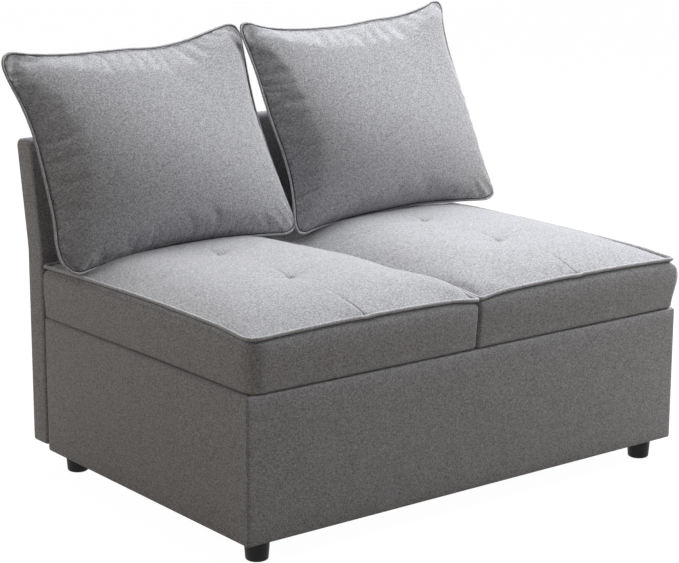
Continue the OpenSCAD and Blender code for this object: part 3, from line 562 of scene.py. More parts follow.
def swell(piece, sewn, cushion):
    # the cover settles over its filling: sewn points stay, no point goes further than the cap
    begin = pointsOf(piece)
    group = piece.vertex_groups.new(name="sewn")
    group.add([int(i) for i in np.flatnonzero(sewn)], 1.0, "REPLACE")
    cover = piece.modifiers.new("cover", "CLOTH")
    traits = {
        "quality": 6,
        "mass": 0.25,
        "tension_stiffness": cushion["stretch"],
        "compression_stiffness": cushion["stretch"],
        "shear_stiffness": cushion["stretch"] / 3,
        "bending_stiffness": cushion["bend"],
        "tension_damping": 8,
        "compression_damping": 8,
        "air_damping": 3,
        "use_pressure": True,
        "uniform_pressure_force": cushion["pressure"],
        "vertex_group_mass": "sewn",
        "shrink_min": -cushion["slack"],
    }
    for trait, value in traits.items():
        setattr(cover.settings, trait, value)
    cover.settings.effector_weights.gravity = 0
    cover.collision_settings.use_collision = False
    for step in range(1, 21):
        scene.frame_set(step)
    mesh = piece.evaluated_get(bpy.context.evaluated_depsgraph_get()).to_mesh()
    end = np.array([v.co for v in mesh.vertices], float)
    piece.modifiers.remove(cover)
    scene.frame_set(1)
    move = end - begin
    far = np.linalg.norm(move, axis=1)[:, None]
    setPoints(piece, begin + move * np.minimum(1, cushion["cap"] / np.maximum(far, 1e-9)))
    print(piece.name, "settled, moved up to", round(float(far.max()) * 1000, 1), "mm")


# box cover: fabric over foam, turned in over the rim and under the floor

boxCover = {
    "skin": 0.006,  # fabric and foam on the walls
    "wall": 0.021,  # to the inner face of the wall boards
    "cloth": 0.0016, "frontCorner": 0.0065, "rearCorner": 0.014,
    "puff": 0.0022,  # how far the faces swell between their edges
    "flap": 0.030, "hem": 0.020, "seamDepth": 0.0016, "wave": 0.0005,
    "sway": 0.0006,  # how far the lower edge runs up and down
}


def boxOutline(low, high, frontR, rearR, step=0.02):
    # a rounded rectangle, point by point: centre of its arc, outward way, radius, seam, and share of a face
    arcs = []
    for x, y, r, start in (
        (high[0], low[1], frontR, -90), (high[0], high[1], rearR, 0),
        (low[0], high[1], rearR, 90), (low[0], low[1], frontR, 180),
    ):
        outward = np.sign([2 * x - low[0] - high[0], 2 * y - low[1] - high[1]])
        arcs.append((np.array([x, y]) - r * outward, r, start))
    rows = []
    for k, (centre, r, start) in enumerate(arcs):
        for a in np.linspace(start, start + 90, 7):
            way = np.array([math.cos(math.radians(a)), math.sin(math.radians(a))])
            rows.append((*centre, *way, r, abs(a - start - 45) < 1, 0))
        nextCentre, nextR, _ = arcs[(k + 1) % 4]
        run = nextCentre + nextR * way - centre - r * way
        count = max(3, int(np.linalg.norm(run) / step))
        for f in (stations(count, (-1, 1), 0.06, 3)[1:-1] + 1) / 2:
            rows.append((*(centre + run * f), *way, r, 0, 1 - abs(2 * f - 1) ** 6))
    rows = np.array(rows, float)
    return rows[:, :2], rows[:, 2:4], rows[:, 4], rows[:, 5], rows[:, 6]


def boxRings(outline, profile):
    # the outline at each inset and height of the profile
    spots, ways, radii, _, faces = outline
    least = 0.0006
    rings = []
    for inset, z in profile:
        reach = np.maximum(radii - inset, least)
        short = np.minimum(radii - inset - least, 0)  # past a corner's centre the ring shrinks towards it
        xy = spots + ways * reach[:, None]
        box = np.sign(xy - (spots.min(0) + spots.max(0)) / 2)
        xy = xy + np.where(faces[:, None] > 0, ways, box) * short[:, None]
        rings.append(np.column_stack([xy, np.full(len(xy), z)]))
    return np.array(rings)


c = boxCover
boxBottom = boxLow.z
flapEnd, underRim, insideFloor = rim - c["flap"], rim - c["cloth"], boxBottom + c["cloth"]
outline = boxOutline((-boxHalf, boxFront), (boxHalf, boxRear), c["frontCorner"], c["rearCorner"])
wall = [(0.0, z) for z in np.linspace(rim - 0.006, boxBottom + 0.005, 16)]
# inset and height: from the flap over the rim, down the wall, in under the floor, and back inside
profile = [
    (c["wall"] + c["cloth"], flapEnd),
    (c["wall"] + c["cloth"], rim - 0.004),
    (c["wall"] + 0.0008, rim - 0.0008),
    (c["wall"] - 0.002, rim),
    (0.0080, rim),
    (0.0042, rim - 0.0008),
    (0.0013, rim - 0.0034),
    *wall,
    (0.0008, boxBottom + 0.002),
    (0.0025, boxBottom + 0.0005),
    (0.005, boxBottom),
    (c["hem"], boxBottom),
    (c["hem"], insideFloor),
    (c["skin"] + 0.0005, insideFloor),
    (c["skin"] + 0.0002, underRim),
    (c["wall"] + 0.0001, underRim),
    (c["wall"] + 0.0001, flapEnd),
]
rings = boxRings(outline, profile)
spots, ways, radii, seams, faces = outline
first = profile.index(wall[0])
for ring in rings[first - 1:first + len(wall) + 1]:
    h = np.clip((ring[0, 2] - boxBottom) / (rim - boxBottom), 0, 1)
    swelling = c["puff"] * (1 - abs(2 * h - 1) ** 5) + c["wave"] * ripple(ring, 0.16, 11)
    ring[:, :2] += ways * (swelling * faces - c["seamDepth"] * seams)[:, None]
    ring[:, 2] += c["sway"] * np.sin(ring[:, 0] * 9 + 1) * (1 - h) * (faces > 0)
boxPiece = loft("boxCover", np.concatenate([rings, rings[:1]]), greyFabric)
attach(boxPiece, "base")
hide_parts("base_cover", "base_padding")

dividerCap = {"half": 0.0075, "cloth": 0.0016, "flap": 0.030}

d = dividerCap
near, far = d["half"] + 0.0001, d["half"] + d["cloth"]
flapEnd, underRim = rim - d["flap"], rim - d["cloth"]
right = [(far - 0.003, rim), (far - 0.0008, rim - 0.0007), (far, rim - 0.003), (far, flapEnd)]
inside = [(near, flapEnd), (near, underRim), (-near, underRim), (-near, flapEnd)]
section = [(-x, z) for x, z in right[::-1]] + [(0, rim)] + right + inside
rows = np.linspace(boxFront + c["wall"] - 0.001, boxRear - c["wall"] + 0.001, 40)
strip = [[(x + 0.0002 * math.sin(y * 31), y, z) for x, z in section] for y in rows]
cap = loft("dividerCap", strip, greyFabric, *((0, y, rim - d["cloth"] / 2) for y in (rows[0], rows[-1])))
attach(cap, "base")
print("box cover made")


# storage linings

lining = {
    "wall": 0.021, "cloth": 0.0008,
    "floor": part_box("base_floor")[1].z,
    "top": rim - 0.0303, "corner": 0.004, "slack": 0.0006,
}

for name, sign in (("leftStorageLining", -1), ("rightStorageLining", 1)):
    q = lining
    x1, x2 = sorted((sign * dividerCap["half"], sign * (boxHalf - q["wall"])))
    y1, y2 = boxFront + q["wall"], boxRear - q["wall"]
    outline = boxOutline((x1, y1), (x2, y2), q["corner"], q["corner"], 0.03)
    walls = [(q["cloth"], z) for z in np.linspace(q["top"], q["floor"] + 0.006, 12)]
    turned = [(q["cloth"] + 0.002, q["floor"] + 0.0014), (0.008, q["floor"] + q["cloth"])]
    profile = [(0.0001, q["floor"] + 0.0001), (0.0001, q["top"]), *walls, *turned]
    rings = boxRings(outline, profile)
    for ring in rings[3:2 + len(walls)]:
        loose = q["slack"] * (1 + ripple(ring, 0.11, 3 + sign)) * outline[4]
        ring[:, :2] -= outline[1] * loose[:, None]
    middle = np.array([(x1 + x2) / 2, (boxFront + boxRear) / 2, q["floor"] + q["cloth"]])
    inset = [rings[-1] + (middle - rings[-1]) * f for f in (0.15, 0.35, 0.6, 0.85)]
    for ring in inset:
        ring[:, 2] = middle[2] + 0.0004 * (1 + ripple(ring, 0.09, 8))
    below = middle - np.array([0, 0, q["cloth"] - 0.0001])
    piece = loft(name, np.concatenate([rings, inset]), liningCloth, capStart=below, capEnd=middle)
    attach(piece, "base")
    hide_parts(name[:-len("StorageLining")] + "_storage_lining")
    wide, deep, tall = x2 - x1, boxRear - boxFront - 2 * q["wall"], q["top"] - q["floor"]
print("linings made")


# cloths on the undersides, with their staples

underside = {"cloth": 0.0006, "columns": 40, "rows": 30}
staple = {"wide": 0.010, "wire": 0.001, "proud": 0.0005, "step": 0.06}


def stretchedCloth(name, low, high, z, sag, seed):
    nx, ny = underside["columns"], underside["rows"]
    x, y = np.meshgrid(np.linspace(low[0], high[0], nx), np.linspace(low[1], high[1], ny), indexing="ij")
    offX = np.abs(2 * (x - low[0]) / (high[0] - low[0]) - 1)
    offY = np.abs(2 * (y - low[1]) / (high[1] - low[1]) - 1)
    uneven = 0.6 + 0.4 * ripple(np.stack([x, y, 0 * x], -1), 0.12, seed)
    hang = sag * (1 - offX ** 8) * (1 - offY ** 8) * uneven
    under = np.stack([x, y, z - underside["cloth"] - hang], -1).reshape(-1, 3)
    above = np.stack([x, y, np.full_like(x, z)], -1).reshape(-1, 3)
    ids = grid(0, nx, ny)
    sides = np.stack([border(ids), border(ids) + nx * ny]).T
    sides = np.concatenate([sides, sides[:1]])
    run = np.zeros(sides.shape)
    patches = [patch(ids, x, y, flip=True), patch(ids + nx * ny, x, y), patch(sides, run, run)]
    return makePiece(name, np.concatenate([under, above]), patches, liningCloth)


def staples(name, low, high, z, inset):
    # flat crowns along the four edges of a stapled cloth
    q = staple
    spots = []
    for turned in (False, True):
        a, b = int(turned), int(not turned)
        for t in np.arange(low[a] + q["step"] / 2, high[a], q["step"]):
            spots += [(t, low[b] + inset, turned), (t, high[b] - inset, turned)]
    points, faces = [], []
    for t, s, turned in spots:
        base = len(points)
        for dz, k in ((0.0, 0.5), (-q["proud"], 0.45)):
            for u, v in ((-1, -1), (1, -1), (1, 1), (-1, 1)):
                one, other = t + u * q["wide"] * k, s + v * q["wire"] * k
                points.append((other, one, z + dz) if turned else (one, other, z + dz))
        for quad in ((0, 1, 2, 3), (7, 6, 5, 4), (4, 5, 1, 0), (5, 6, 2, 1), (6, 7, 3, 2), (7, 4, 0, 3)):
            faces.append([base + i for i in quad])
    return makePiece(name, np.array(points), [(np.array(faces), np.zeros((len(faces), 4, 2)))], stapleSteel)


# piece and node, its body, what it is stretched on, gap above it, sag, staples and their inset
undersides = (
    ("undersideCloth", "underside_cloth", "base", "base_cover", 0.0001, 0.0008, "boxStaples", 0.006),
    ("leftSeatUnderlining", "left_seat_underlining", "left_seat", "left_seat_board", 0, 0.0006,
     "leftSeatStaples", 0.005),
    ("rightSeatUnderlining", "right_seat_underlining", "right_seat", "right_seat_board", 0, 0.0006,
     "rightSeatStaples", 0.005),
)
for name, node, body, support, gap, sag, stapleName, inset in undersides:
    low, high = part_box(node)
    cloth = stretchedCloth(name, low, high, high.z - gap, sag, 21 if body == "base" else 22)
    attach(cloth, body)
    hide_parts(node)
    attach(staples(stapleName, low, high, high.z - gap * 2 - underside["cloth"], inset), body)
print("undersides made")


# back panel, one upholstered board that leans from the height of the seats

panel = {
    "thick": 0.0582, "bottom": 0.058, "bend": 0.512, "top": 0.759, "lean": 9.0,
    "edge": 0.018,  # radius of its top edges
    "side": 0.007,  # radius of its upright edges
    "foot": 0.005,  # radius of its lower edges
    "puff": 0.0030,
    "rearPuff": 0.35,  # share of it on the rear
    "endPuff": 0.0016, "columns": 56, "gap": 0.002,
}


def panelLoop(inset):
    # the side view as a closed loop of depth and height, moved in by an inset
    p = panel
    lean = math.radians(p["lean"])
    front = boxRear + p["gap"]
    length = (p["top"] - p["bend"]) / math.cos(lean)

    def leaning(behind, down):
        return (front + (length - down) * math.sin(lean) + behind * math.cos(lean),
                p["bend"] + (length - down) * math.cos(lean) - behind * math.sin(lean))

    def face(behind):
        # one face from the foot to the upper edge, softly bent at the height of the seats
        bend = p["bend"] - behind * math.tan(lean / 2)
        upright = np.linspace(low + r + 0.015, bend - 0.012, 20)
        points = [(front + behind, z) for z in upright]
        for k in np.linspace(0, 1, 5):
            points.append((front + behind + 0.012 * k * k * math.sin(lean), bend - 0.008 + 0.016 * k))
        return points + [leaning(behind, down) for down in np.linspace(length - 0.02, e, 11)]

    near, far = inset, p["thick"] - inset
    low, r, e = p["bottom"] + inset, p["foot"], p["edge"]
    loop = arc(front + near + r, low + r, r, 270, 180, 4) + face(near)
    for centre, start in ((leaning(e, e), 180), (leaning(p["thick"] - e, e), 90)):
        loop += arc(*centre, e - inset, start - p["lean"], start - 90 - p["lean"], 6)[1:]
    return np.array(loop + face(far)[-2::-1] + arc(front + far - r, low + r, r, 0, -90, 4))


p = panel
r = p["side"]
corner = arc(-boxHalf + r, r, r, 180, 270, 7)
middles = stations(p["columns"], (-1, 1), 0.05, 3)[1:-1] * (boxHalf - r)
plan = corner + [(x, 0.0) for x in middles] + [(-x, i) for x, i in corner[::-1]]
rings = []
for x, inset in plan:
    loop = panelLoop(inset)
    middle = loop.mean(0)
    across = 1 - (x / boxHalf) ** 8
    tall = 1 - np.abs(2 * (loop[:, 1] - p["bottom"]) / (p["top"] - p["bottom"]) - 1) ** 6
    way = np.sign(loop[:, 0] - middle[0] - (loop[:, 1] - middle[1]) * 0.08)
    puff = p["puff"] * np.where(way < 0, p["rearPuff"], 1) * across * tall
    ring = np.column_stack([np.full(len(loop), x), loop])
    ring[:, 1] += way * puff * (1 + 0.25 * ripple(ring, 0.2, 31))
    rings.append(ring)


def panelSkin(name, rings, finish, across=7):
    # the skin and, at both ends, a softly swelling side face from its front edge to its rear edge
    points, ids, patches = barrel(rings, 4)
    half = ids.shape[1] // 2
    share = np.linspace(0, 1, across)[1:-1, None]
    ends = smooth(np.linspace(0, 8, half)) * smooth(np.linspace(8, 0, half))
    for k, sign in ((0, -1), (-1, 1)):
        near, far = rings[k][:half], rings[k][::-1][:half]
        inner = near[None] + (far - near)[None] * share[..., None]
        inner[..., 0] += sign * panel["endPuff"] * np.sin(math.pi * share) * ends
        fresh = grid(len(points), len(share), half)
        mesh = np.concatenate([ids[k][None, :half], fresh, ids[k][::-1][None, :half]])
        flat = np.concatenate([near[None], inner, far[None]])
        points = np.concatenate([points, inner.reshape(-1, 3)])
        patches.append(patch(mesh, flat[..., 1], flat[..., 2], flip=sign < 0))
    return makePiece(name, points, patches, finish)


backPiece = panelSkin("backPanelCover", rings, greyFabric)
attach(backPiece, "base")
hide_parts("back_cover", "back_front_padding", "back_rear_padding", "back_top_padding")
print("back panel made")


# seats

seat = {
    "wide": 0.5915, "deep": 0.786, "split": 0.001, "low": rim + 0.0003,
    "edge": 0.117,  # from the underside to the piping at the corners
    "arch": 0.006, "crown": 0.036, "round": 3.5, "bulge": 0.009,
    "frontBulge": 0.005, "piping": 0.0042, "thread": 0.0011, "twine": 0.0009,
    "groove": 0.0075,  # depth of the trough along the piping
    "squeeze": 0.012,  # how far the edge beside the other seat is pressed down
    "nose": 0.0060,  # and its front corner
    "ridge": (0.0138, 0.022, 0.060),  # the swelling beside the other seat: height, place, reach
    "inset": 0.0056,  # where the top begins, inside the outline
    "lift": 0.0022,  # how far the top begins above the piping's seam
    "wave": (0.0007, 0.0005, 0.0008),  # unevenness of the top, and short and long of the walls
    "fullness": (0.0022, 0.0008),  # beside the pleat and below it
    "dents": ((0.00525, 0.013, 0.011), (0.00525, 0.042, 0.030)),  # at each tuft: depth, width, length
    "creases": (0.0022, 0.0020),  # depth of those to the sides and to the rear
    "tufts": (-1 / 3, 1 / 3),  # places in depth, -1 front to 1 rear
    "pleat": 0.105, "pleatDepth": 0.0030,
    "nip": 0.0020,  # how far the pleat pulls the piping down
    "hem": 0.020, "board": 0.0016, "columns": 84, "rows": 96, "pressure": 1.2,
    "slack": 0.0015, "stretch": 22, "bend": 1.0, "cap": 0.0025,
}
# corners: radii at the outer front, outer rear, inner front and inner rear
# lean: how far the foot and the top of the inner front corner lie towards the other seat
# drop: how far the front edge lies below the others
# tip: how far the outer front corner swells outwards
# ridge: share of the swelling beside the other seat
# tuft, pleatOff: how far the tufts and the pleat lie off the middle, towards the other seat
seatPlaces = {
    "left": {
        "sign": 1, "seed": 41, "rearOut": 0.008, "rearIn": 0.0055, "corners": (0.034, 0.014, 0.009, 0.026),
        "lean": (-0.0045, 0.0030), "drop": 0.0055, "tip": 0.0, "ridge": 1.0,
        "tuft": (-0.014, -0.012), "pleatOff": -0.006,
    },
    "right": {
        "sign": -1, "seed": 57, "rearOut": 0.0, "rearIn": 0.0, "corners": (0.012, 0.018, 0.009, 0.012),
        "lean": (0.0032, -0.0030), "drop": 0.0035, "tip": 0.015, "ridge": 0.45,
        "tuft": (0.013, -0.006), "pleatOff": 0.006,
    },
}
# both are worked out for the left seat, and mirrored for the right one;
# s runs from -1 at the outer side to 1 beside the other seat, t from -1 in front to 1 at the rear
seatX, seatY = -(seat["split"] + seat["wide"]) / 2, boxFront + seat["deep"] / 2


def seatPlan(own, s, t, inset, h=1.0):
    # the outline, moved in by an inset, at a height from 0 at the foot to 1 at the top
    outFront, outRear, inFront, inRear = own["corners"]
    r = np.where(s < 0, np.where(t < 0, outFront, outRear), np.where(t < 0, inFront, inRear))
    halfX, halfY = seat["wide"] / 2 - inset, seat["deep"] / 2 - inset
    x, y = roundCorners(halfX * s, halfY * t, halfX, halfY, np.maximum(r - inset, 0.002))
    facing = bell((1 - s) * halfX / 0.035, (1 + t) * halfY / 0.09)
    x = x + facing * (own["lean"][0] * (1 - h) ** 1.3 + own["lean"][1] * h)
    x = x - own["rearIn"] * smooth((t - 0.55) / 0.3) * (1 + s) / 2
    return seatX + x - own["rearOut"] * smooth((t + 0.3) / 1.3) * (1 - s) / 2, seatY + y


def seatEdge(own, s, t):
    # height of the piping
    q = seat
    arch = q["arch"] * (1 - (s * t) ** 2)
    nip = q["nip"] * bell((s - own["pleatOff"] * 2 / q["wide"]) / 0.04) * (t < -0.99)
    ends = np.where(t < 0, smooth((-t - 0.35) / 0.65), smooth(t * 4 - 3))
    pressed = q["squeeze"] * smooth(2 * s - 1) * (1 - ends) + own["drop"] * smooth((-t - 0.7) / 0.3)
    pressed = pressed + q["nose"] * bell((1 - s) * q["wide"] / 0.085, (1 + t) * q["deep"] / 0.11)
    return q["low"] + q["edge"] + arch - nip - pressed


def seatRidge(own, s, t):
    # the filling swells up beside the other seat, most near the front
    high, place, reach = seat["ridge"]
    inward, back = (1 - s) * seat["wide"] / 2, (1 + t) * seat["deep"] / 2
    along = smooth(back / 0.042) * (1 - smooth((back - 0.36) / 0.26))
    along = along * (1 - 0.2 * smooth((back - 0.12) / 0.12))
    across = bell((inward - place) / np.where(inward < place, place, reach))
    return own["ridge"] * high * along * across * (1 - np.exp(-inward / 0.005))


def tuftSpots(own):
    x, y = own["tuft"]
    return [(seatX + x, seatY + y + k * seat["deep"] / 2) for k in seat["tufts"]]


def tuftDents(own, x, y):
    # a dent at each tuft, with creases that run from it to the sides and to the rear
    down = 0
    for tx, ty in tuftSpots(own):
        dx, dy = x - tx, y - ty
        for depth, wide, long in seat["dents"]:
            down = down + depth * bell(dx / wide, dy / long)
        sideways = bell((dy - 4.0 * dx * dx) / 0.0050) * np.exp(-(dx / 0.050) ** 4)
        backwards = bell(dx / 0.0048) * np.exp(-((dy - 0.020) / 0.030) ** 4)
        down = down + seat["creases"][0] * sideways + seat["creases"][1] * backwards
    return down


def pleatDent(own, x, y):
    back = (y - seatY + seat["deep"] / 2) / seat["pleat"]
    line = x - seatX - own["pleatOff"] + 0.010 * np.clip(back, 0, 1) ** 2
    return seat["pleatDepth"] * bell(line / 0.0018) * np.clip(1 - back * back, 0, 1)


def seatTop(own, s, t):
    # the points of the top, and how far each is from the piping
    q = seat
    x, y = seatPlan(own, s, t, q["inset"])
    near = np.minimum((1 - np.abs(s)) * q["wide"], (1 - np.abs(t)) * q["deep"]) / 2
    z = seatEdge(own, s, t) + q["crown"] * (1 - np.abs(s) ** q["round"]) * (1 - np.abs(t) ** q["round"])
    z = z + seatRidge(own, s, t) + q["lift"] - q["groove"] * np.exp(-near / 0.0048)
    uneven = ripple(np.stack([x, y, 0 * x], -1), 0.30, own["seed"]) * np.clip(near / 0.05, 0, 1)
    z = z - tuftDents(own, x, y) - pleatDent(own, x, y) + q["wave"][0] * uneven
    besidePleat = bell((x - seatX - own["pleatOff"]) / 0.030, (y - seatY + q["deep"] / 2 - 0.03) / 0.05)
    return np.stack([x, y, z + q["fullness"][0] * besidePleat], -1), near


def seatSide(own, s, t):
    # rings from the seam under the piping, down the walls, and in under the board
    q = seat
    outer, front, inner = (np.where(on, 1.0, 0.0) for on in (s < -0.999, t < -0.999, s > 0.999))
    high = seatEdge(own, s, t)
    rings = []
    for inset, dz in ((0.0080, -0.0045), (0.0064, -0.0072), (0.0018, -0.0105)):
        rings.append(np.stack([*seatPlan(own, s, t, inset), high + dz], -1))
    for h in np.linspace(0.88, 0.055, 13):
        x, y = seatPlan(own, s, t, 0.0012 * math.sin(math.pi * h) * inner, h)
        bow = np.sin(math.pi * h ** 1.67)
        x = x - outer * (q["bulge"] * (1 - 0.6 * t ** 6) * bow)
        x = x - own["tip"] * bow * bell((1 + s) * q["wide"] / 0.13, (1 + t) * q["deep"] / 0.20)
        y = y - front * (q["frontBulge"] * (1 - 0.8 * s ** 6) * bow)
        ring = np.stack([x, y, q["low"] + (high - 0.003 - q["low"]) * h], -1)
        wave = q["wave"][1] * ripple(ring, 0.16, own["seed"] + 1)
        wave = wave + q["wave"][2] * ripple(ring * [1, 1, 0.4], 0.34, own["seed"] + 2)
        wave = wave * (1 - (2 * h - 1) ** 6)
        gather = q["fullness"][1] * bell((x - seatX - own["pleatOff"]) / 0.022) * h ** 5  # below the pleat
        ring[:, 0] -= outer * wave
        ring[:, 1] -= front * (0.7 * wave - gather)
        rings.append(ring)
    folded = ((q["hem"], 0.0), (q["hem"] + 0.0003, q["board"] + 0.0003))
    for inset, dz in ((0.0012, 0.0042), (0.0042, 0.0012), (0.009, 0.0001), *folded):
        x, y = seatPlan(own, s, t, inset, 0.0)
        rings.append(np.stack([x, y, 0 * x + q["low"] + dz], -1))
    return np.array(rings)


def tuftStitches(own):
    # a short curved stitch on top of each tuft
    q = seat
    bars = []
    for tx, ty in tuftSpots(own):
        dx = np.linspace(-0.0085, 0.0085, 9)
        x, y = tx + dx, ty - 12 * dx * dx
        crown = q["crown"] * (1 - abs(2 * (ty - seatY) / q["deep"]) ** q["round"])
        z = q["low"] + q["edge"] + q["arch"] + crown + q["lift"] - tuftDents(own, x, y)
        bars.append(np.stack([x * own["sign"], y, z + 0.0005], -1))
    return bars


def buildSeat(hand):
    q, own = seat, seatPlaces[hand]
    columns = stations(q["columns"], (-1, 0, 1), 0.045, 4)
    rows = stations(q["rows"], (-1, 1) + q["tufts"], 0.04, 3)
    s, t = np.meshgrid(columns, rows, indexing="ij")
    top, near = seatTop(own, s, t)
    x, y = top[..., 0], top[..., 1]
    ids = grid(0, *s.shape)
    ring = border(ids)
    rimS, rimT = s.reshape(-1)[ring], t.reshape(-1)[ring]
    side = seatSide(own, rimS, rimT)
    points = np.concatenate([top.reshape(-1, 3), side.reshape(-1, 3)])
    rings = wrapped(np.concatenate([ring[None], grid(s.size, *side.shape[:2])]))
    down = runOf(points[rings[:, len(ring) // 8]])
    v, u = np.meshgrid(down, runOf(side[5], closed=True), indexing="ij")
    patches = [patch(ids, x, y), patch(rings, u, v)]
    free = (near > 0.008) & (pleatDent(own, x, y) < 0.0003)
    for tx, ty in tuftSpots(own):
        free &= ((x - tx) / 0.062) ** 2 + ((y - ty - 0.008) / 0.036) ** 2 > 1
    sewn = np.ones(len(points), bool)
    sewn[:s.size] = ~free.reshape(-1)
    cord = [*seatPlan(own, rimS, rimT, q["piping"] - 0.0020), seatEdge(own, rimS, rimT) + 0.0014]
    cord = np.stack(cord, -1)
    # the thread runs in the crease right under the piping, and its near-black colour stands for the crease's
    # shadow: painted shade
    seam = np.stack([*seatPlan(own, rimS, rimT, 0.0036), cord[:, 2] - q["piping"] - 0.0009], -1)
    if own["sign"] < 0:
        points, cord, seam = (line * [-1, 1, 1] for line in (points, cord, seam))
        patches = [(f[:, ::-1], c[:, ::-1]) for f, c in patches]
    body = makePiece(hand + "SeatCushion", points, patches, greyFabric)
    swell(body, sewn, q)
    finer(body)
    closeHole(body)
    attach(body, hand + "_seat")
    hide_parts(*(hand + "_seat_" + part for part in ("cover", "topper", "foam")))
    pipe = cordOn(hand + "SeatPiping", cord, q["piping"], pipingHighlitFabric)
    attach(cordOn(hand + "SeatStitchingAndShade", seam, q["thread"], seamThreadAndShade, sides=6), hand + "_seat")
    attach(pipe, hand + "_seat")
    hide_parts(hand + "_seat_piping")
    threads = openCords(hand + "TuftThreads", tuftStitches(own), q["twine"], threadTwine)
    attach(threads, hand + "_seat")
    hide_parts(hand + "_seat_ties")


for hand in ("left", "right"):
    buildSeat(hand)
print("seats made")


# pillows, worked out flat: across, up from the lower edge, out to the front

pillow = {
    "wide": 0.652, "tall": 0.531,
    "front": 0.09216,  # how far it swells in front
    "rear": 0.0551, "seam": 0.0022, "corner": 0.047, "rearFull": 0.40,
    "piping": 0.0031, "thread": 0.0009, "turn": 2.0, "count": 92, "pressure": 2.4,
    "slack": 0.012, "stretch": 14, "bend": 0.35, "cap": 0.006,
    "stitch": (0.0019, 0.0125, 0.014),  # gathers at the stitches: depth, step, length
    "gather": (0.0028, 0.045, 0.032),  # longer folds: depth, step, length
}
# outline: how far the left and right edge lie across and the lower and upper edge lie up
# from a rectangle, in mm, at nine places from -1 to 1
# full: how rounded the front is towards the left, right, lower and upper edge, lower is fuller
# dome: share of the front that swells as an even dome
# sag, lopside: how far the fullest place lies below and to the left of the middle
# tuck: how far the lower seam is rolled back under the front
# roll: how far the front hangs down over the lower seam
# folds: strength of the stitch gathers and of the longer folds along the four edges
pillowPlaces = {
    "left": {
        "x": -0.320038, "stand": 0.156, "z": 0.496655, "lean": 26.6037, "seed": 71,
        "outline": (
            (8.5, 5, 16, 20.5, 23.5, 24, 16.5, 0.5, -7.5),
            (8, -2, -9, -14, -16, -14.5, -8, 1, 10),
            (-12.5, 0, 10, 17.5, 20, 19.5, 16, 9.5, 1),
            (-15, -30, -37, -38, -38, -40, -30, -11, 8),
        ),
        "folds": ((2.3, 1.5), (0.6, 0.5), (2.2, 0.75), (0.15, 0.6)),
        "full": (0.70, 0.30, 0.46, 0.43), "dome": 0.42, "sag": 0.33, "lopside": 0.05,
        "tuck": 0.009, "roll": 0.007,
    },
    "right": {
        "x": 0.320038, "stand": 0.138, "z": 0.495605, "lean": 23.5116, "seed": 83,
        "outline": (
            (-5, 12.5, 23, 22.5, 14.5, 9, 5.5, -3, -15),
            (8, -11.5, -19.3, -21, -20, -22, -24.3, -19, -1),
            (-8, 9, 16.5, 21, 24, 26, 21, 13.5, 4),
            (3, -23, -33.5, -36.5, -35.5, -28, -24, -9.5, 16),
        ),
        "folds": ((1.2, 0.9), (0.5, 0.4), (2.4, 0.85), (0.12, 0.35)),
        "full": (0.56, 0.30, 0.60, 0.36), "dome": 0.24, "sag": 0.42, "lopside": 0.12,
        "tuck": 0.013, "roll": 0.013,
    },
}


halfW, halfH = pillow["wide"] / 2 - pillow["piping"], pillow["tall"] / 2 - pillow["piping"]


def puckers(a, d, kind, seed):
    # folds square to a seam, at a along it and d away from it
    depth, step, reach = kind
    line = np.stack([a, 0 * a, 0 * a], -1)
    phase = 2 * np.pi * a / step + 1.6 * ripple(line, 3.5 * step, seed)
    size = np.clip(0.40 + 0.60 * ripple(line, 5 * step, seed + 1), 0, 1.4)
    long = reach * (0.6 + 0.5 * np.clip(ripple(line, 3 * step, seed + 2), -0.8, 1.5))
    wave = 0.5 + 0.5 * np.cos(phase)
    return -depth * size * wave ** 5 * np.exp(-(d / long) ** 1.5) * np.clip(d / 0.004, 0, 1)


def gatherSeams(piece, own):
    # moves the points beside the seams along their normals; cloth coordinates tell how far each is from them
    mesh = piece.data
    at = np.zeros((len(mesh.vertices), 2))
    at[read(mesh.loops, "vertex_index", kind=np.int32)[:, 0]] = read(mesh.uv_layers["cloth"].data, "uv", 2)
    rear = at[:, 0] > 1
    across, upward = at[:, 0] - 2 * rear, at[:, 1]
    seed = own["seed"] + 40 * rear.any()
    move = np.zeros(len(mesh.vertices))
    edges = [(upward, halfW + across), (upward, halfW - across)]
    edges += [(across, halfH + upward), (across, halfH - upward)]
    for k, (a, d) in enumerate(edges):
        for kind, strength in zip(("stitch", "gather"), own["folds"][k]):
            slant = 0.7 * d if k == 3 else 0.0  # the folds at the top run off to the right
            move += strength * puckers(a - slant + 0.31 * rear, np.maximum(d, 0), pillow[kind], seed + 7 * k)
    setPoints(piece, pointsOf(piece) + read(mesh.vertices, "normal", 3) * move[:, None])


def pillowSpots(own, s, t, swelling, full, inset):
    hw, hh = halfW - inset, halfH - inset
    x, y = roundCorners(s * hw, t * hh, hw, hh, pillow["corner"])
    low, high, left, right = (1 - t) / 2, (1 + t) / 2, (1 - s) / 2, (1 + s) / 2
    edges = [curve(line, at) / 1000 for line, at in zip(own["outline"], (t, t, s, s))]
    x = x + left * edges[0] + right * edges[1]
    y = y + low * edges[2] + high * edges[3]
    powerX, powerY = full[0] * left + full[1] * right, full[2] * low + full[3] * high
    sunk = t + own["sag"] * (1 - t * t)
    shifted = s + own["lopside"] * (1 - s * s)
    fallX, fallY = np.maximum(1 - shifted * shifted, 0), np.maximum(1 - sunk * sunk, 0)
    z = swelling * ((1 - own["dome"]) * fallX ** powerX * fallY ** powerY + own["dome"] * fallX * fallY)
    z = z - own["tuck"] * low ** 4 * (1 - s ** 4)
    if swelling > 0:
        y = y - own["roll"] * (1 - np.exp(-(1 + t) / 0.02)) * bell((1 + t) / 0.22) * (1 - s ** 6)
    return np.stack([x, y + halfH, z], -1)


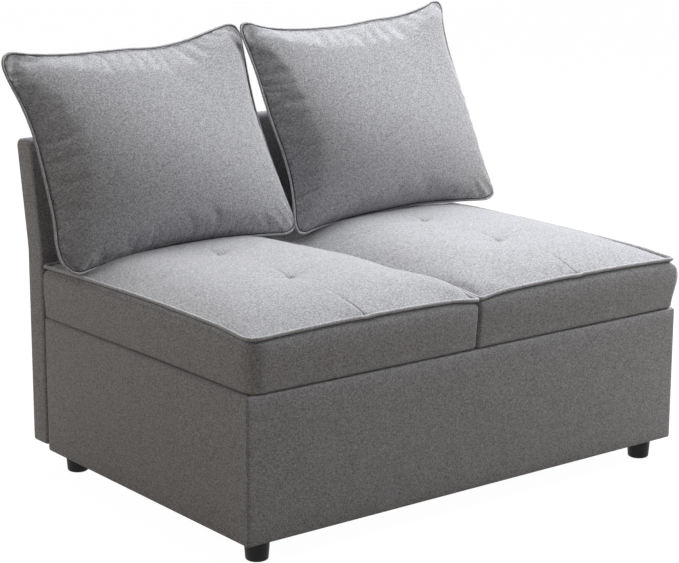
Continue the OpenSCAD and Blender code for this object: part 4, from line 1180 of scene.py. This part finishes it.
def buildPillow(hand):
    q, own = pillow, pillowPlaces[hand]
    k = stations(q["count"], (-1, 1), 0.06, 1.6)
    s, t = np.meshgrid(k, k, indexing="ij")
    front = pillowSpots(own, s, t, q["front"], own["full"], q["seam"])
    rear = pillowSpots(own, s, t, -q["rear"], (q["rearFull"],) * 4, q["seam"])
    ids = grid(0, *s.shape)
    inside = (np.abs(s) < 0.9999) & (np.abs(t) < 0.9999)
    back = ids.copy()
    back[inside] = grid(s.size, inside.sum())
    points = np.concatenate([front.reshape(-1, 3), rear[inside]])
    patches = [patch(ids, s * halfW, t * halfH), patch(back, s * halfW + 2, t * halfH, flip=True)]
    body = makePiece(hand + "Pillow", points, patches, greyFabric)
    sewn = np.zeros(len(points), bool)
    sewn[:s.size] = ~inside.reshape(-1)
    swell(body, sewn, q)
    finer(body)
    gatherSeams(body, own)
    ring = border(ids)
    rimS, rimT = s.reshape(-1)[ring], t.reshape(-1)[ring]
    seam = pillowSpots(own, rimS, rimT, 0, own["full"], 0)
    pipe = cordOn(hand + "PillowPiping", seam, q["piping"], pipingHighlitFabric)
    # the thread runs just inside the piping on the front, and its near-black colour darkens the seam groove:
    # painted shade
    thread = pillowSpots(own, rimS, rimT, 0, own["full"], 0.0029) + [0, 0, q["piping"]]
    stitchingAndShade = cordOn(hand + "PillowStitchingAndShade", thread, q["thread"], seamThreadAndShade, sides=6)
    place = (
        Matrix.Translation((own["x"], boxRear + panel["gap"] - own["stand"], own["z"]))
        @ Matrix.Rotation(math.radians(q["turn"]), 4, "Z")
        @ Matrix.Rotation(math.radians(90 - own["lean"]), 4, "X")
    )
    for piece in (body, pipe, stitchingAndShade):
        piece.data.transform(place)
    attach(stitchingAndShade, hand + "_pillow")
    for piece, part in ((body, "grey_fabric"), (pipe, "piping_fabric")):
        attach(piece, hand + "_pillow")
    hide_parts(hand + "_pillow_cover", hand + "_pillow_fill")
    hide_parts(hand + "_pillow_piping")


for hand in ("left", "right"):
    buildPillow(hand)
print("pillows made")


# feet, moulded with a foot ring and a collar

foot = {"top": 0.0275, "bottom": 0.024, "edge": 0.005, "high": 0.0496, "hollow": 0.0012, "sides": 48}

q = foot
flare, rise = q["top"] - q["bottom"], q["high"] - q["edge"]
# radius and height: the foot ring, the rounded edge, the flare and the collar
shape = [
    (0.0150, q["hollow"]),
    (0.0162, 0.0002),
    (0.0175, 0.0),
    *arc(q["bottom"] - q["edge"], q["edge"], q["edge"], -90, 0, 6),
    *((q["bottom"] + flare * h, q["edge"] + rise * h) for h in (0.3, 0.6, 0.9)),
    (q["top"] - 0.0002, q["high"] - 0.0034),
    (q["top"], q["high"] - 0.0030),
    (q["top"], q["high"] - 0.0004),
    (q["top"] - 0.0005, q["high"]),
]
turns = np.linspace(0, 2 * np.pi, q["sides"], endpoint=False)
for name in ("front_left_foot", "front_right_foot", "rear_left_foot", "rear_right_foot"):
    low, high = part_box(name)
    x, y = (low.x + high.x) / 2, (low.y + high.y) / 2
    rings = [np.column_stack([x + r * np.cos(turns), y + r * np.sin(turns), 0 * turns + z]) for r, z in shape]
    piece = loft(name.title().replace("_", ""), rings, footPlastic, (x, y, q["hollow"]), (x, y, q["high"]))
    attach(piece, "base")
    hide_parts(name)
print("feet made")


# finishes of the solids that stay

# by the axis of the grain
plyBoards = {
    0: ("base_front_panel", "base_rear_panel", "base_floor", "back_front_board", "back_rear_board"),
    1: ("base_left_panel", "base_right_panel", "base_divider", "left_seat_board", "right_seat_board"),
}
pineParts = {
    0: ("back_top_rail", "back_seat_rail", "back_bottom_rail", "left_seat_battens", "right_seat_battens"),
    2: (
        "corner_blocks", "back_left_stile", "back_inner_left_stile",
        "back_inner_right_stile", "back_right_stile",
    ),
}
steelParts = ("foot_tee_nuts", "foot_studs", "back_bolts", "back_washers", "back_tee_nuts")


def dress(names, finish):
    for name in names:
        nodes[name].data.materials.clear()
        nodes[name].data.materials.append(finish)


for along, names in plyBoards.items():
    dress(names, board("plywood " + "xyz"[along], (0.60, 0.44, 0.27), (0.44, 0.30, 0.17), along))
for along, names in pineParts.items():
    dress(names, board("planed pine " + "xyz"[along], (0.70, 0.53, 0.33), (0.55, 0.37, 0.20), along))
dress(steelParts, stapleSteel)
print("solids dressed")

low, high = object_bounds()
over = [round(value * 1000, 1) for value in (*(cadLow - low), *(high - cadHigh))]
print("size over the CAD box, mm:", over)
